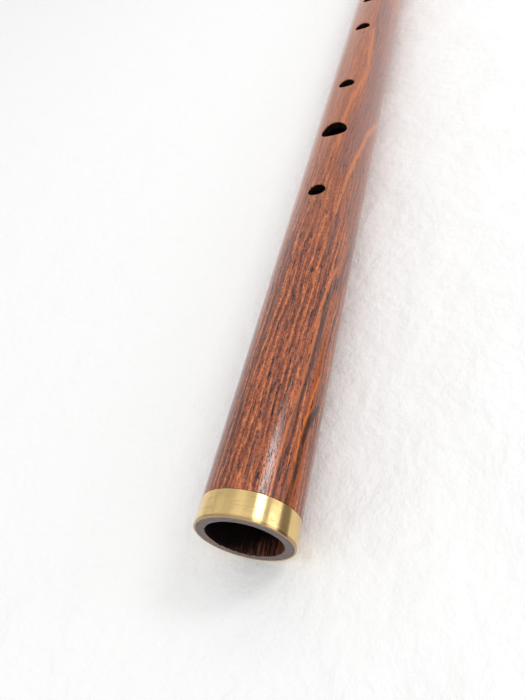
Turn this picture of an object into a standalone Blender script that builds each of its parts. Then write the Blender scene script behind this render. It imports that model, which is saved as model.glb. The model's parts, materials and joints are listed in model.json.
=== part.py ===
"""Native American flute: a bored hardwood tube with brass ferrules, six finger holes, a slow air chamber,
a brass flue plate, a carved bird block that slides on its nest, and the leather lace that ties it down.

Metres, +Z up. The flute lies along X with its foot towards -X and its finger holes facing +Z.
The origin is under the middle of its length, on the surface that it lies on.
"""

from itertools import accumulate
from math import acos, atan2, ceil, cos, hypot, pi, radians, sin, sqrt

import bmesh
import bpy
import numpy as np
from mathutils import Matrix, Vector

MM = 0.001

# Clearance between two pieces that touch
CONTACT_GAP = 0.3 * MM

# Tube
TUBE_RADIUS = 12.7 * MM
TUBE_WALL = 3.0 * MM
TUBE_EDGE_ROUNDING = 0.3 * MM
TUBE_SIDES = 64

# Brass ferrules, one flush at each end of the tube
FERRULE_LENGTH = 6.9 * MM
FERRULE_WALL = 0.6 * MM
FERRULE_EDGE = 0.25 * MM

# Finger holes from the foot up: the first one's distance from the foot, then centre to centre
FIRST_HOLE_FROM_FOOT = 123.6 * MM
HOLE_SPACINGS = [41.0 * MM, 38.3 * MM, 60.3 * MM, 36.4 * MM, 37.5 * MM]
HOLE_DIAMETERS = [6.3 * MM, 10.3 * MM, 6.8 * MM, 7.2 * MM, 7.6 * MM, 6.6 * MM]
HOLE_SIDES = 32

# Sound hole, flue and slow air chamber
LAST_HOLE_TO_EDGE = 255.0 * MM
SOUND_HOLE_LENGTH = 5.0 * MM
FLUE_LENGTH = 16.5 * MM
FLUE_WIDTH = 8.0 * MM
EXIT_HOLE_LENGTH = 8.0 * MM
EDGE_RAMP_LENGTH = 6.0 * MM
EDGE_RAMP_DEPTH = 0.8 * MM
PLUG_LENGTH = 14.0 * MM
CHAMBER_LENGTH = 74.0 * MM

# Flue plate, and the nest that it and the block sit on
PLATE_THICKNESS = 0.8 * MM
PLATE_RAIL_WIDTH = 1.6 * MM
PLATE_BEHIND_EXIT = 17.0 * MM
PLATE_SIDE_ROOM = 0.4 * MM
NEST_BEFORE_EDGE = 13.0 * MM
NEST_BEHIND_BLOCK = 9.0 * MM

# Mouthpiece
MOUTHPIECE_LENGTH = 46.0 * MM
SPIGOT_LENGTH = 14.0 * MM
SPIGOT_WALL = 3.2 * MM
COLLAR_LENGTH = 6.0 * MM
BREATH_HOLE_RADIUS = 3.2 * MM
FUNNEL_LENGTH = 6.0 * MM
TIP_WALL = 3.9 * MM
TIP_ROUNDING = 2.8 * MM
MOUTHPIECE_SIDES = 48

# Lace: one round leather cord, wound over the block's saddle, with its ends tucked under the turns
LACE_DIAMETER = 2.2 * MM
LACE_TURNS = 4
LACE_TURN_GAP = 0.6 * MM
LACE_TUCK_RADIUS = 4.6 * MM
LACE_LEAD = 0.8 * MM
LACE_FREE_END = 7.0 * MM
LACE_POINTS_PER_TURN = 24
LACE_POINTS_PER_BEND = 6
LACE_STRAIGHT_STEP = 5.0 * MM
LACE_SIDES = 6

# Block, carved as a bird that looks towards the foot. Heights are counted from its base.
HEAD_LENGTH = 17.0 * MM
HEAD_HEIGHT = 19.0 * MM
HEAD_WIDTH = 11.4 * MM
BREAST_SWELL = 2.0 * MM
BEAK_LENGTH = 6.5 * MM
BEAK_HEIGHT = 13.0 * MM
BEAK_ROOT_THICKNESS = 5.4 * MM
BEAK_ROOT_WIDTH = 5.4 * MM
BEAK_TIP_THICKNESS = 0.9 * MM
SADDLE_SIDE_ROOM = 1.6 * MM
SADDLE_HEIGHT = 8.5 * MM
SADDLE_SHOULDER = 2.2 * MM
TAIL_LENGTH = 16.0 * MM
TAIL_HEIGHT = 12.5 * MM
TAIL_WIDTH = 14.4 * MM
BASE_OVERHANG = 0.9 * MM
STATION_STEPS = 3
SIDE_STEPS = 3
SHOULDER_STEPS = 4

# Heights over the tube's axis, worked out from the sizes above
BORE_RADIUS = TUBE_RADIUS - TUBE_WALL
PLATE_WIDTH = FLUE_WIDTH + 2 * PLATE_RAIL_WIDTH
NEST_HEIGHT = sqrt(TUBE_RADIUS**2 - (PLATE_WIDTH / 2 + PLATE_SIDE_ROOM) ** 2)
PLATE_BOTTOM = NEST_HEIGHT + CONTACT_GAP
BLOCK_BOTTOM = PLATE_BOTTOM + PLATE_THICKNESS + CONTACT_GAP

# Distances from the foot, worked out from the sizes above
HOLES_FROM_FOOT = list(accumulate(HOLE_SPACINGS, initial=FIRST_HOLE_FROM_FOOT))
EDGE_FROM_FOOT = HOLES_FROM_FOOT[-1] + LAST_HOLE_TO_EDGE
BLOCK_FROM_FOOT = EDGE_FROM_FOOT + SOUND_HOLE_LENGTH
EXIT_HOLE_FROM_FOOT = BLOCK_FROM_FOOT + FLUE_LENGTH
PLUG_FROM_FOOT = BLOCK_FROM_FOOT + (FLUE_LENGTH - PLUG_LENGTH) / 2
TUBE_LENGTH = PLUG_FROM_FOOT + PLUG_LENGTH + CHAMBER_LENGTH + SPIGOT_LENGTH
TOTAL_LENGTH = TUBE_LENGTH + CONTACT_GAP + MOUTHPIECE_LENGTH

# Block and lace sizes, worked out from the sizes above
BLOCK_BASE_WIDTH = PLATE_WIDTH + 2 * BASE_OVERHANG
LACE_RADIUS = LACE_DIAMETER / 2
LACE_PITCH = LACE_DIAMETER + LACE_TURN_GAP
SADDLE_LENGTH = (LACE_TURNS - 1) * LACE_PITCH + LACE_DIAMETER + 2 * SADDLE_SIDE_ROOM
BLOCK_LENGTH = HEAD_LENGTH + SADDLE_LENGTH + TAIL_LENGTH
LACE_WINDING_RADIUS = TUBE_RADIUS + CONTACT_GAP + LACE_RADIUS

# The surface that the flute lies on cuts the lace's lowest turns flat by a tenth of their diameter
LACE_FLAT = 0.1 * LACE_DIAMETER
AXIS_HEIGHT = LACE_WINDING_RADIUS * cos(pi / LACE_POINTS_PER_TURN) + LACE_RADIUS - LACE_FLAT

# How far a cutter reaches past what it cuts, and the distance under which two corners are one
CUTTER_REACH = 2.0 * MM
MERGE_DISTANCE = 0.001 * MM

# Each material's name, colour, roughness and metallic value
ROSEWOOD = ("rosewood", (0.29, 0.085, 0.035), 0.22, 0.0)
DARK_ROSEWOOD = ("dark_rosewood", (0.17, 0.05, 0.025), 0.25, 0.0)
MAPLE = ("maple", (0.62, 0.45, 0.27), 0.6, 0.0)
BRASS = ("brass", (0.78, 0.58, 0.22), 0.25, 1.0)
LEATHER = ("leather", (0.10, 0.05, 0.03), 0.7, 0.0)


# Scene helpers


def clear_scene():
    for obj in list(bpy.data.objects):
        bpy.data.objects.remove(obj)


def make_empty(name, from_foot, height):
    """A parent empty on the tube's middle plane, that high over the tube's axis."""
    empty = bpy.data.objects.new(name, None)
    empty.location = (from_foot - TOTAL_LENGTH / 2, 0.0, AXIS_HEIGHT + height)
    bpy.context.scene.collection.objects.link(empty)
    return empty


def make_material(name, color, roughness, metallic):
    found = bpy.data.materials.get(name)
    if found:
        return found
    made = bpy.data.materials.new(name)
    made.use_nodes = True
    shader = made.node_tree.nodes["Principled BSDF"]
    shader.inputs["Base Color"].default_value = (*color, 1.0)
    shader.inputs["Roughness"].default_value = roughness
    shader.inputs["Metallic"].default_value = metallic
    return made


def finish_mesh(bm, name, look=None, sharp_angle=35):
    """The mesh made from bm, with its faces pointing out. Without a look it is a cutter's."""
    bmesh.ops.recalc_face_normals(bm, faces=bm.faces)
    mesh = bpy.data.meshes.new(name)
    bm.to_mesh(mesh)
    bm.free()
    if look:
        mesh.materials.append(make_material(*look))
        mesh.shade_smooth()
        mesh.set_sharp_from_angle(angle=radians(sharp_angle))
    return mesh


def add_object(name, mesh, parent, location=(0.0, 0.0, 0.0)):
    obj = bpy.data.objects.new(name, mesh)
    obj.parent = parent
    obj.location = location
    bpy.context.scene.collection.objects.link(obj)
    return obj


def cut(obj, name, cutter_mesh):
    """Cuts cutter_mesh, which is in obj's own coordinates, out of obj."""
    cutter = add_object(name, cutter_mesh, obj.parent, obj.location)
    cutter.hide_render = True
    cutter.display_type = "WIRE"
    modifier = obj.modifiers.new(name, "BOOLEAN")
    modifier.operation = "DIFFERENCE"
    modifier.solver = "EXACT"
    modifier.object = cutter


def turned(outline, sides):
    """Spins an outline of (along, radius) points round X. It is closed unless it starts on the axis."""
    bm = bmesh.new()
    flat_side_down = Matrix.Rotation(pi / sides, 3, "X")
    verts = [bm.verts.new(flat_side_down @ Vector((place, 0.0, radius))) for place, radius in outline]
    edges = [bm.edges.new(pair) for pair in zip(verts, verts[1:])]
    if outline[0][1] > 0.0:
        edges.append(bm.edges.new((verts[-1], verts[0])))
    whole_turn = 2 * pi
    bmesh.ops.spin(bm, geom=verts + edges, axis=(1, 0, 0), angle=whole_turn, steps=sides, use_merge=True)
    bmesh.ops.remove_doubles(bm, verts=bm.verts, dist=MERGE_DISTANCE)
    return bm


def add_box(bm, low, high):
    """Adds a box between two opposite corners."""
    size = [b - a for a, b in zip(low, high)]
    middle = [(a + b) / 2 for a, b in zip(low, high)]
    bmesh.ops.create_cube(bm, size=1.0, matrix=Matrix.Translation(middle) @ Matrix.Diagonal((*size, 1.0)))


def prism(corners, offset):
    """A solid between a flat outline and a copy of it that is moved by offset."""
    bm = bmesh.new()
    face = bm.faces.new([bm.verts.new(corner) for corner in corners])
    grown = bmesh.ops.extrude_face_region(bm, geom=[face])["geom"]
    moved = [item for item in grown if isinstance(item, bmesh.types.BMVert)]
    bmesh.ops.translate(bm, verts=moved, vec=offset)
    return bm


# Tube


def tube_outline():
    """The wall's outline: the outside with a ferrule's rebate at each end, then the bore."""
    seat_radius = TUBE_RADIUS - FERRULE_WALL - CONTACT_GAP
    seat_length = FERRULE_LENGTH + CONTACT_GAP
    rounding = TUBE_EDGE_ROUNDING
    foot_end = [
        (0.0, BORE_RADIUS + rounding),
        (0.0, seat_radius),
        (seat_length, seat_radius),
        (seat_length, TUBE_RADIUS),
    ]
    mouth_end = [(TUBE_LENGTH - place, radius) for place, radius in reversed(foot_end)]
    bore = [(TUBE_LENGTH - rounding, BORE_RADIUS), (rounding, BORE_RADIUS)]
    return foot_end + mouth_end + bore


def nest_cutter():
    start = EDGE_FROM_FOOT - NEST_BEFORE_EDGE
    end = BLOCK_FROM_FOOT + BLOCK_LENGTH + NEST_BEHIND_BLOCK
    bm = bmesh.new()
    add_box(bm, (start, -2 * TUBE_RADIUS, NEST_HEIGHT), (end, 2 * TUBE_RADIUS, TUBE_RADIUS + CUTTER_REACH))
    return finish_mesh(bm, "nest_cutter")


def ramp_cutter():
    """The slope before the sound hole that leaves a thin splitting edge. It stays inside the nest."""
    slope = EDGE_RAMP_DEPTH / EDGE_RAMP_LENGTH
    past_edge = SOUND_HOLE_LENGTH / 2
    rise = slope * (NEST_BEFORE_EDGE - EDGE_RAMP_LENGTH) / 2
    edge = EDGE_FROM_FOOT
    side = -FLUE_WIDTH / 2
    corners = [
        (edge + past_edge, side, NEST_HEIGHT - EDGE_RAMP_DEPTH - slope * past_edge),
        (edge + past_edge, side, NEST_HEIGHT + rise),
        (edge - EDGE_RAMP_LENGTH - rise / slope, side, NEST_HEIGHT + rise),
    ]
    return finish_mesh(prism(corners, (0.0, FLUE_WIDTH, 0.0)), "ramp_cutter")


def flue_holes_cutter():
    """The sound hole and the slow air chamber's exit hole, both through the floor of the nest."""
    bm = bmesh.new()
    for start, length in ((EDGE_FROM_FOOT, SOUND_HOLE_LENGTH), (EXIT_HOLE_FROM_FOOT, EXIT_HOLE_LENGTH)):
        low = (start, -FLUE_WIDTH / 2, BORE_RADIUS / 2)
        high = (start + length, FLUE_WIDTH / 2, NEST_HEIGHT + CUTTER_REACH)
        add_box(bm, low, high)
    return finish_mesh(bm, "flue_holes_cutter")


def finger_holes_cutter():
    bottom = BORE_RADIUS / 2
    top = TUBE_RADIUS + CUTTER_REACH
    bm = bmesh.new()
    for place, diameter in zip(HOLES_FROM_FOOT, HOLE_DIAMETERS):
        middle = Matrix.Translation((place, 0.0, (bottom + top) / 2))
        radius = diameter / 2
        bmesh.ops.create_cone(
            bm,
            cap_ends=True,
            segments=HOLE_SIDES,
            radius1=radius,
            radius2=radius,
            depth=top - bottom,
            matrix=middle,
        )
    return finish_mesh(bm, "finger_holes_cutter")


def make_tube(parent):
    mesh = finish_mesh(turned(tube_outline(), TUBE_SIDES), "body_tube", ROSEWOOD)
    tube = add_object("body_tube", mesh, parent)
    cut(tube, "nest_cutter", nest_cutter())
    cut(tube, "ramp_cutter", ramp_cutter())
    cut(tube, "flue_holes_cutter", flue_holes_cutter())
    cut(tube, "finger_holes_cutter", finger_holes_cutter())


# Brass ferrules and the plug between the bore and the slow air chamber


def make_ferrules(parent):
    inside = TUBE_RADIUS - FERRULE_WALL
    outline = [
        (0.0, inside),
        (0.0, TUBE_RADIUS - FERRULE_EDGE),
        (FERRULE_EDGE, TUBE_RADIUS),
        (FERRULE_LENGTH - FERRULE_EDGE, TUBE_RADIUS),
        (FERRULE_LENGTH, TUBE_RADIUS - FERRULE_EDGE),
        (FERRULE_LENGTH, inside),
    ]
    mesh = finish_mesh(turned(outline, TUBE_SIDES), "ferrule", BRASS)
    add_object("foot_ferrule", mesh, parent)
    add_object("mouth_ferrule", mesh, parent, (TUBE_LENGTH - FERRULE_LENGTH, 0.0, 0.0))


def make_plug(parent):
    radius = BORE_RADIUS - CONTACT_GAP
    outline = [(0.0, 0.0), (0.0, radius), (PLUG_LENGTH, radius), (PLUG_LENGTH, 0.0)]
    mesh = finish_mesh(turned(outline, TUBE_SIDES), "chamber_plug", MAPLE)
    add_object("chamber_plug", mesh, parent, (PLUG_FROM_FOOT, 0.0, 0.0))


# Flue plate


def make_flue_plate(parent):
    """A fork of sheet brass. Its rails are the flue's sides, and the block closes the flue's top."""
    slot_end = EXIT_HOLE_FROM_FOOT + EXIT_HOLE_LENGTH - EDGE_FROM_FOOT
    end = slot_end + PLATE_BEHIND_EXIT
    edge = PLATE_WIDTH / 2
    slot = FLUE_WIDTH / 2
    outside = [(0.0, -edge), (end, -edge), (end, edge), (0.0, edge)]
    inside = [(0.0, slot), (slot_end, slot), (slot_end, -slot), (0.0, -slot)]
    corners = [(x, y, 0.0) for x, y in outside + inside]
    mesh = finish_mesh(prism(corners, (0.0, 0.0, PLATE_THICKNESS)), "flue_plate", BRASS)
    add_object("flue_plate", mesh, parent, (EDGE_FROM_FOOT, 0.0, PLATE_BOTTOM))


# Mouthpiece


def mouthpiece_outline():
    """From the spigot's inner end, over the collar and the tapered tip, and back through the breath hole."""
    spigot_radius = BORE_RADIUS - CONTACT_GAP
    tip_radius = BREATH_HOLE_RADIUS + TIP_WALL
    rounding = min(TIP_ROUNDING, 0.8 * TIP_WALL)
    taper_end = MOUTHPIECE_LENGTH - rounding
    points = [
        (-SPIGOT_LENGTH, spigot_radius - SPIGOT_WALL),
        (-SPIGOT_LENGTH, spigot_radius),
        (0.0, spigot_radius),
        (0.0, TUBE_RADIUS - FERRULE_EDGE),
        (FERRULE_EDGE, TUBE_RADIUS),
    ]
    taper_steps = 10
    for step in range(taper_steps + 1):
        share = step / taper_steps
        narrowing = (1 - cos(pi * share)) / 2
        radius = TUBE_RADIUS + (tip_radius - TUBE_RADIUS) * narrowing
        points.append((COLLAR_LENGTH + (taper_end - COLLAR_LENGTH) * share, radius))
    tip_steps = 4
    for step in range(1, tip_steps + 1):
        turn = pi / 2 * step / tip_steps
        points.append((taper_end + rounding * sin(turn), tip_radius - rounding * (1 - cos(turn))))
    points.append((MOUTHPIECE_LENGTH, BREATH_HOLE_RADIUS))
    points.append((FUNNEL_LENGTH - SPIGOT_LENGTH, BREATH_HOLE_RADIUS))
    return points


def make_mouthpiece(parent):
    mesh = finish_mesh(turned(mouthpiece_outline(), MOUTHPIECE_SIDES), "mouthpiece", DARK_ROSEWOOD)
    add_object("mouthpiece", mesh, parent, (TUBE_LENGTH + CONTACT_GAP, 0.0, 0.0))


# Block


def block_stations():
    """Sections from the beak's tip to the tail's end.

    Each is (distance from the block's front, lowest and highest point, half the width of its base,
    how far its sides swell, half the width under its shoulders, its shoulders' radius).
    """
    base = BLOCK_BASE_WIDTH / 2
    head = HEAD_WIDTH / 2
    tail = TAIL_WIDTH / 2
    tip = BEAK_TIP_THICKNESS / 2
    root = BEAK_ROOT_THICKNESS / 2
    root_side = BEAK_ROOT_WIDTH / 2
    saddle_end = HEAD_LENGTH + SADDLE_LENGTH
    forehead = (BEAK_HEIGHT + root + HEAD_HEIGHT) / 2
    beak = [
        (-BEAK_LENGTH, BEAK_HEIGHT - tip, BEAK_HEIGHT + tip, tip, 0.0, tip, 0.9 * tip),
        (-0.5 * BEAK_LENGTH, BEAK_HEIGHT - 0.5 * root, BEAK_HEIGHT + 0.7 * root)
        + (0.4 * root_side, 0.1 * root_side, 0.45 * root_side, 0.4 * root_side),
        (-0.12 * BEAK_LENGTH, BEAK_HEIGHT - root, BEAK_HEIGHT + root)
        + (0.8 * root_side, 0.2 * root_side, root_side, 0.9 * root_side),
    ]
    head_part = [
        (0.0, 0.0, forehead, base, 0.2 * BREAST_SWELL, 0.8 * head, 0.75 * head),
        (0.18 * HEAD_LENGTH, 0.0, 0.97 * HEAD_HEIGHT, base, 0.8 * BREAST_SWELL, 0.95 * head, 0.85 * head),
        (0.38 * HEAD_LENGTH, 0.0, HEAD_HEIGHT, base, BREAST_SWELL, head, 0.9 * head),
        (0.7 * HEAD_LENGTH, 0.0, 0.74 * HEAD_HEIGHT, base, 0.6 * BREAST_SWELL, 1.05 * head, 0.75 * head),
    ]
    saddle = [
        (HEAD_LENGTH, 0.0, SADDLE_HEIGHT, base, 0.0, base, SADDLE_SHOULDER),
        (saddle_end, 0.0, SADDLE_HEIGHT, base, 0.0, base, SADDLE_SHOULDER),
    ]
    tail_part = [
        (saddle_end + 0.35 * TAIL_LENGTH, 0.0, 0.88 * TAIL_HEIGHT, base, 0.0, 0.97 * tail, SADDLE_SHOULDER),
        (saddle_end + 0.75 * TAIL_LENGTH, 0.0, TAIL_HEIGHT, base, 0.0, tail, 1.2 * SADDLE_SHOULDER),
        (saddle_end + 0.96 * TAIL_LENGTH, 0.0, 0.96 * TAIL_HEIGHT, base, 0.0, 0.93 * tail)
        + (1.2 * SADDLE_SHOULDER,),
        (saddle_end + TAIL_LENGTH, 0.0, 0.9 * TAIL_HEIGHT, 0.95 * base, 0.0, 0.85 * tail, SADDLE_SHOULDER),
    ]
    return beak + head_part + saddle + tail_part


def gentle_slopes(places, values):
    """The slope at each place, which is level at a peak, at a dip and beside a level stretch."""
    rates = [(b - a) / (q - p) for p, q, a, b in zip(places, places[1:], values, values[1:])]
    slopes = [rates[0]]
    for before, after in zip(rates, rates[1:]):
        slopes.append(2 * before * after / (before + after) if before * after > 0.0 else 0.0)
    return [*slopes, rates[-1]]


def blended(places, values, steps):
    """The values at steps places in each stretch, on a smooth curve that never passes a given value."""
    slopes = gentle_slopes(places, values)
    result = [values[0]]
    for index in range(len(places) - 1):
        length = places[index + 1] - places[index]
        for step in range(1, steps + 1):
            share = step / steps
            back = 1 - share
            value = values[index] * back * back * (1 + 2 * share)
            value += values[index + 1] * share * share * (1 + 2 * back)
            value += length * share * back * (slopes[index] * back - slopes[index + 1] * share)
            result.append(value)
    return result


def block_section(low, high, base, swell, crown, shoulder):
    """A section's corners as (across, up), from the right end of its base over the top to the left one."""
    right = []
    for step in range(SIDE_STEPS + 1):
        share = step / SIDE_STEPS
        width = base + (crown - base) * share + 4 * swell * share * (1 - share)
        right.append((width, low + (high - low - shoulder) * share))
    for step in range(1, SHOULDER_STEPS + 1):
        turn = pi / 2 * step / SHOULDER_STEPS
        right.append((crown - shoulder * (1 - cos(turn)), high - shoulder * (1 - sin(turn))))
    left = [(-across, up) for across, up in reversed(right)]
    return right + left


def make_block(parent):
    columns = list(zip(*block_stations()))
    stations = zip(*(blended(columns[0], column, STATION_STEPS) for column in columns))
    bm = bmesh.new()
    rings = []
    for place, *section in stations:
        rings.append([bm.verts.new((place, across, up)) for across, up in block_section(*section)])
    for ring, following in zip(rings, rings[1:]):
        for index in range(len(ring)):
            after = (index + 1) % len(ring)
            bm.faces.new((ring[index], ring[after], following[after], following[index]))
    bm.faces.new(rings[0])
    bm.faces.new(rings[-1])
    add_object("block", finish_mesh(bm, "block", ROSEWOOD, sharp_angle=50), parent)


# Lace


def tuck_angle():
    """The angle over +Y at which a tucked end lies on the tube, right beside the block's lower corner."""
    corner_y = BLOCK_BASE_WIDTH / 2
    corner_distance = hypot(corner_y, BLOCK_BOTTOM)
    clear = LACE_RADIUS + CONTACT_GAP
    cosine = LACE_WINDING_RADIUS**2 + corner_distance**2 - clear**2
    cosine /= 2 * LACE_WINDING_RADIUS * corner_distance
    return atan2(BLOCK_BOTTOM, corner_y) - acos(min(1.0, cosine))


def turn_circles():
    """What the middle of a tight turn runs round, as (y, z, radius): tube, saddle and both tucked ends."""
    clear = LACE_RADIUS + CONTACT_GAP
    shoulder_y = BLOCK_BASE_WIDTH / 2 - SADDLE_SHOULDER
    shoulder_z = BLOCK_BOTTOM + SADDLE_HEIGHT - SADDLE_SHOULDER
    tuck_y = LACE_WINDING_RADIUS * cos(tuck_angle())
    tuck_z = LACE_WINDING_RADIUS * sin(tuck_angle())
    circles = [(0.0, 0.0, LACE_WINDING_RADIUS)]
    for side in (1, -1):
        circles.append((side * shoulder_y, shoulder_z, SADDLE_SHOULDER + clear))
        circles.append((side * tuck_y, tuck_z, LACE_PITCH))
    return circles


def lace_half():
    """The lace from its first free end to the middle of its winding, as (point, outward direction) pairs.

    X is counted from the middle of the saddle. The end lies along the tube under the turns, bends down
    round the tube, and winds on towards the mouth end.
    """
    tuck = tuck_angle()
    bend = LACE_TUCK_RADIUS / LACE_WINDING_RADIUS
    start_angle = tuck - bend
    half_winding = start_angle + pi / 2 + pi * LACE_TURNS
    first_x = -LACE_PITCH * half_winding / (2 * pi) - LACE_LEAD
    path = []

    def add(x, angle, circle=(0.0, 0.0, LACE_WINDING_RADIUS)):
        outward = Vector((0.0, cos(angle), sin(angle)))
        path.append((Vector((x, circle[0], circle[1])) + circle[2] * outward, outward))

    free_x = LACE_FREE_END - first_x
    bend_x = first_x + LACE_TUCK_RADIUS
    straight_steps = ceil((free_x - bend_x) / LACE_STRAIGHT_STEP)
    for step in range(straight_steps):
        add(free_x + (bend_x - free_x) * step / straight_steps, tuck)
    for step in range(LACE_POINTS_PER_BEND + 1):
        turn = pi / 2 * step / LACE_POINTS_PER_BEND
        add(first_x + LACE_TUCK_RADIUS * (1 - sin(turn)), tuck - bend * (1 - cos(turn)))

    circles = turn_circles()
    point_angle = 2 * pi / LACE_POINTS_PER_TURN
    for step in reversed(range(int(half_winding / point_angle))):
        wound = half_winding - (step + 0.5) * point_angle
        angle = start_angle - wound
        lead = LACE_LEAD * max(0.0, cos(min(wound, pi / 2)))
        x = LACE_PITCH * (wound - half_winding) / (2 * pi) - lead
        on_tube = angle > -pi / 2
        reach = [y * cos(angle) + z * sin(angle) + radius for y, z, radius in circles]
        circle = circles[0] if on_tube else circles[reach.index(max(reach))]
        add(x, angle, circle)
    return path


def lace_path():
    """The whole lace. Its second half is its first half turned round the middle of the saddle."""
    first = lace_half()
    turn = Matrix.Rotation(pi, 3, "Z")
    second = [(turn @ point, turn @ outward) for point, outward in reversed(first)]
    return first + second


def lace_gap(path):
    """The least gap between two stretches of the lace, measured on points along its middle."""
    points = []
    for (start, _), (end, _) in zip(path, path[1:]):
        points += [start.lerp(end, share) for share in (0.0, 0.25, 0.5, 0.75)]
    points = np.array(points)
    steps = np.linalg.norm(np.diff(points, axis=0), axis=1)
    places = np.concatenate(([0.0], np.cumsum(steps)))
    distances = np.linalg.norm(points[:, None] - points[None, :], axis=2)
    apart = np.abs(places[:, None] - places[None, :]) > 3 * LACE_DIAMETER
    return distances[apart].min() - LACE_DIAMETER


def make_lace(parent):
    path = lace_path()
    print("Least gap of the lace to itself: %.2f mm" % (lace_gap(path) / MM))
    bm = bmesh.new()
    rings = []
    for index, (point, outward) in enumerate(path):
        before = path[max(index - 1, 0)][0]
        after = path[min(index + 1, len(path) - 1)][0]
        forward = (after - before).normalized()
        side = forward.cross(outward).normalized()
        up = side.cross(forward)
        ring = []
        for corner in range(LACE_SIDES):
            turn = 2 * pi * corner / LACE_SIDES
            ring.append(bm.verts.new(point + LACE_RADIUS * (cos(turn) * up + sin(turn) * side)))
        rings.append(ring)
    for ring, following in zip(rings, rings[1:]):
        for index in range(LACE_SIDES):
            after = (index + 1) % LACE_SIDES
            bm.faces.new((ring[index], ring[after], following[after], following[index]))
    bm.faces.new(rings[0])
    bm.faces.new(rings[-1])
    middle = (HEAD_LENGTH + SADDLE_LENGTH / 2, 0.0, -BLOCK_BOTTOM)
    lace = add_object("lace", finish_mesh(bm, "lace", LEATHER, sharp_angle=70), parent, middle)
    floor = bmesh.new()
    low = (-SADDLE_LENGTH, -TUBE_RADIUS, -AXIS_HEIGHT - CUTTER_REACH)
    add_box(floor, low, (SADDLE_LENGTH, TUBE_RADIUS, -AXIS_HEIGHT))
    cut(lace, "floor_cutter", finish_mesh(floor, "floor_cutter"))


def main():
    clear_scene()
    flute = make_empty("flute", 0.0, 0.0)
    make_tube(flute)
    make_ferrules(flute)
    make_plug(flute)
    make_flue_plate(flute)
    make_mouthpiece(flute)
    slide = make_empty("block_slide", BLOCK_FROM_FOOT, BLOCK_BOTTOM)
    make_block(slide)
    make_lace(slide)


main()
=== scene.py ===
"""Looks of the Native American flute: its finer meshes, their materials, and the floor, lights and camera.

Metres, in the row frame: the flute lies along X with its foot towards -X and its finger holes facing +Z.
Lengths are written in millimetres times MM. Girth angles are counted from the top of the tube towards +Y.
"""

import json
from math import acos, asin, atan2, ceil, copysign, cos, hypot, pi, radians, sin, sqrt

import bmesh
import bpy
import numpy as np
from mathutils import Matrix, Vector, noise


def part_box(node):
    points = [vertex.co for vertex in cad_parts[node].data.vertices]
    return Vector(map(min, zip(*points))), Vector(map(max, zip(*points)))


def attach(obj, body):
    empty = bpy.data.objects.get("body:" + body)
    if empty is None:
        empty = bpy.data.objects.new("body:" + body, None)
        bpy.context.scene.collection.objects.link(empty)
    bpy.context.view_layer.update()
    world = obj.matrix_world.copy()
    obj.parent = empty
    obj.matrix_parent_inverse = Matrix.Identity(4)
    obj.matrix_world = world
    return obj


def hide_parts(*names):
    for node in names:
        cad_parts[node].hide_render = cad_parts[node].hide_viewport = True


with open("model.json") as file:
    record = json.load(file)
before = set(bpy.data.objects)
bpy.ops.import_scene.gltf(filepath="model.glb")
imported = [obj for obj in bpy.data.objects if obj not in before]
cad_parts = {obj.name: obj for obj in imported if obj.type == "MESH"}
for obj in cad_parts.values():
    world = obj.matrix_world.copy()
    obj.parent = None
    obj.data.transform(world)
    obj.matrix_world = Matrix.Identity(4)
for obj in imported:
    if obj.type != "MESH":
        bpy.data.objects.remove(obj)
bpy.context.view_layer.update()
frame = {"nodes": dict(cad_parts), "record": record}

MM = 0.001

# The photograph's longer side in pixels, and the camera and tube as fitted to the tube's outlines in it.
# Distances are in tube radii, in camera directions: right, down and forward.
PHOTO_HEIGHT = 700
FOCAL_LENGTH_PIXELS = 565.5157
SENSOR = 36.0
FOOT_FROM_CAMERA = Vector((-0.3404, 3.5701, 10.6261))
TUBE_DIRECTION = Vector((0.2243, -0.7634, 0.6057))
HOLE_DIRECTION = Vector((-0.3346, -0.6441, -0.6878))

# Tube
TUBE_RADIUS = 12.7 * MM
BORE_RADIUS = 9.7 * MM
FERRULE_LENGTH = 6.9 * MM
FERRULE_WALL = 0.6 * MM
FERRULE_RIM = 0.16 * MM
GLUE_LINE = 0.07 * MM
HOLE_DIAMETERS = [6.3 * MM, 10.3 * MM, 6.8 * MM, 7.2 * MM, 7.6 * MM, 6.6 * MM]
HOLE_EASING = 0.35 * MM
EDGE_EASING = 0.1 * MM
PLATE_EASING = 0.12 * MM
FLUE_WIDTH = 8.0 * MM
FLUE_LENGTH = 16.5 * MM
EXIT_LENGTH = 8.0 * MM
NEST_HALF_WIDTH = 6.0 * MM
NEST_BEFORE_EDGE = 13.0 * MM
NEST_BEHIND_BLOCK = 9.0 * MM
EDGE_RAMP_LENGTH = 6.0 * MM
EDGE_RAMP_DEPTH = 0.8 * MM
LOW_WALL_LENGTH = 2.0 * MM
BORE_RAGGEDNESS = 0.9 * MM
TORN_ANGLE = radians(138)
TORN_ELSEWHERE = 0.2
TEARS = [(0.3, 0.4), (1.1, 1.1)]  # (share of the raggedness, bumps per millimetre)

# Block, carved as a bird that looks towards the foot. Heights are counted from its base.
HEAD_LENGTH = 17.0 * MM
HEAD_HEIGHT = 19.0 * MM
HEAD_WIDTH = 11.4 * MM
BREAST_SWELL = 2.0 * MM
BEAK_LENGTH = 6.5 * MM
BEAK_HEIGHT = 13.0 * MM
BEAK_ROOT = 5.4 * MM
BEAK_TIP = 0.9 * MM
SADDLE_HEIGHT = 8.5 * MM
SADDLE_LENGTH = 13.8 * MM
SADDLE_SHOULDER = 2.2 * MM
TAIL_LENGTH = 16.0 * MM
TAIL_HEIGHT = 12.5 * MM
TAIL_WIDTH = 14.4 * MM
BLOCK_BASE_WIDTH = 13.0 * MM

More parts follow.
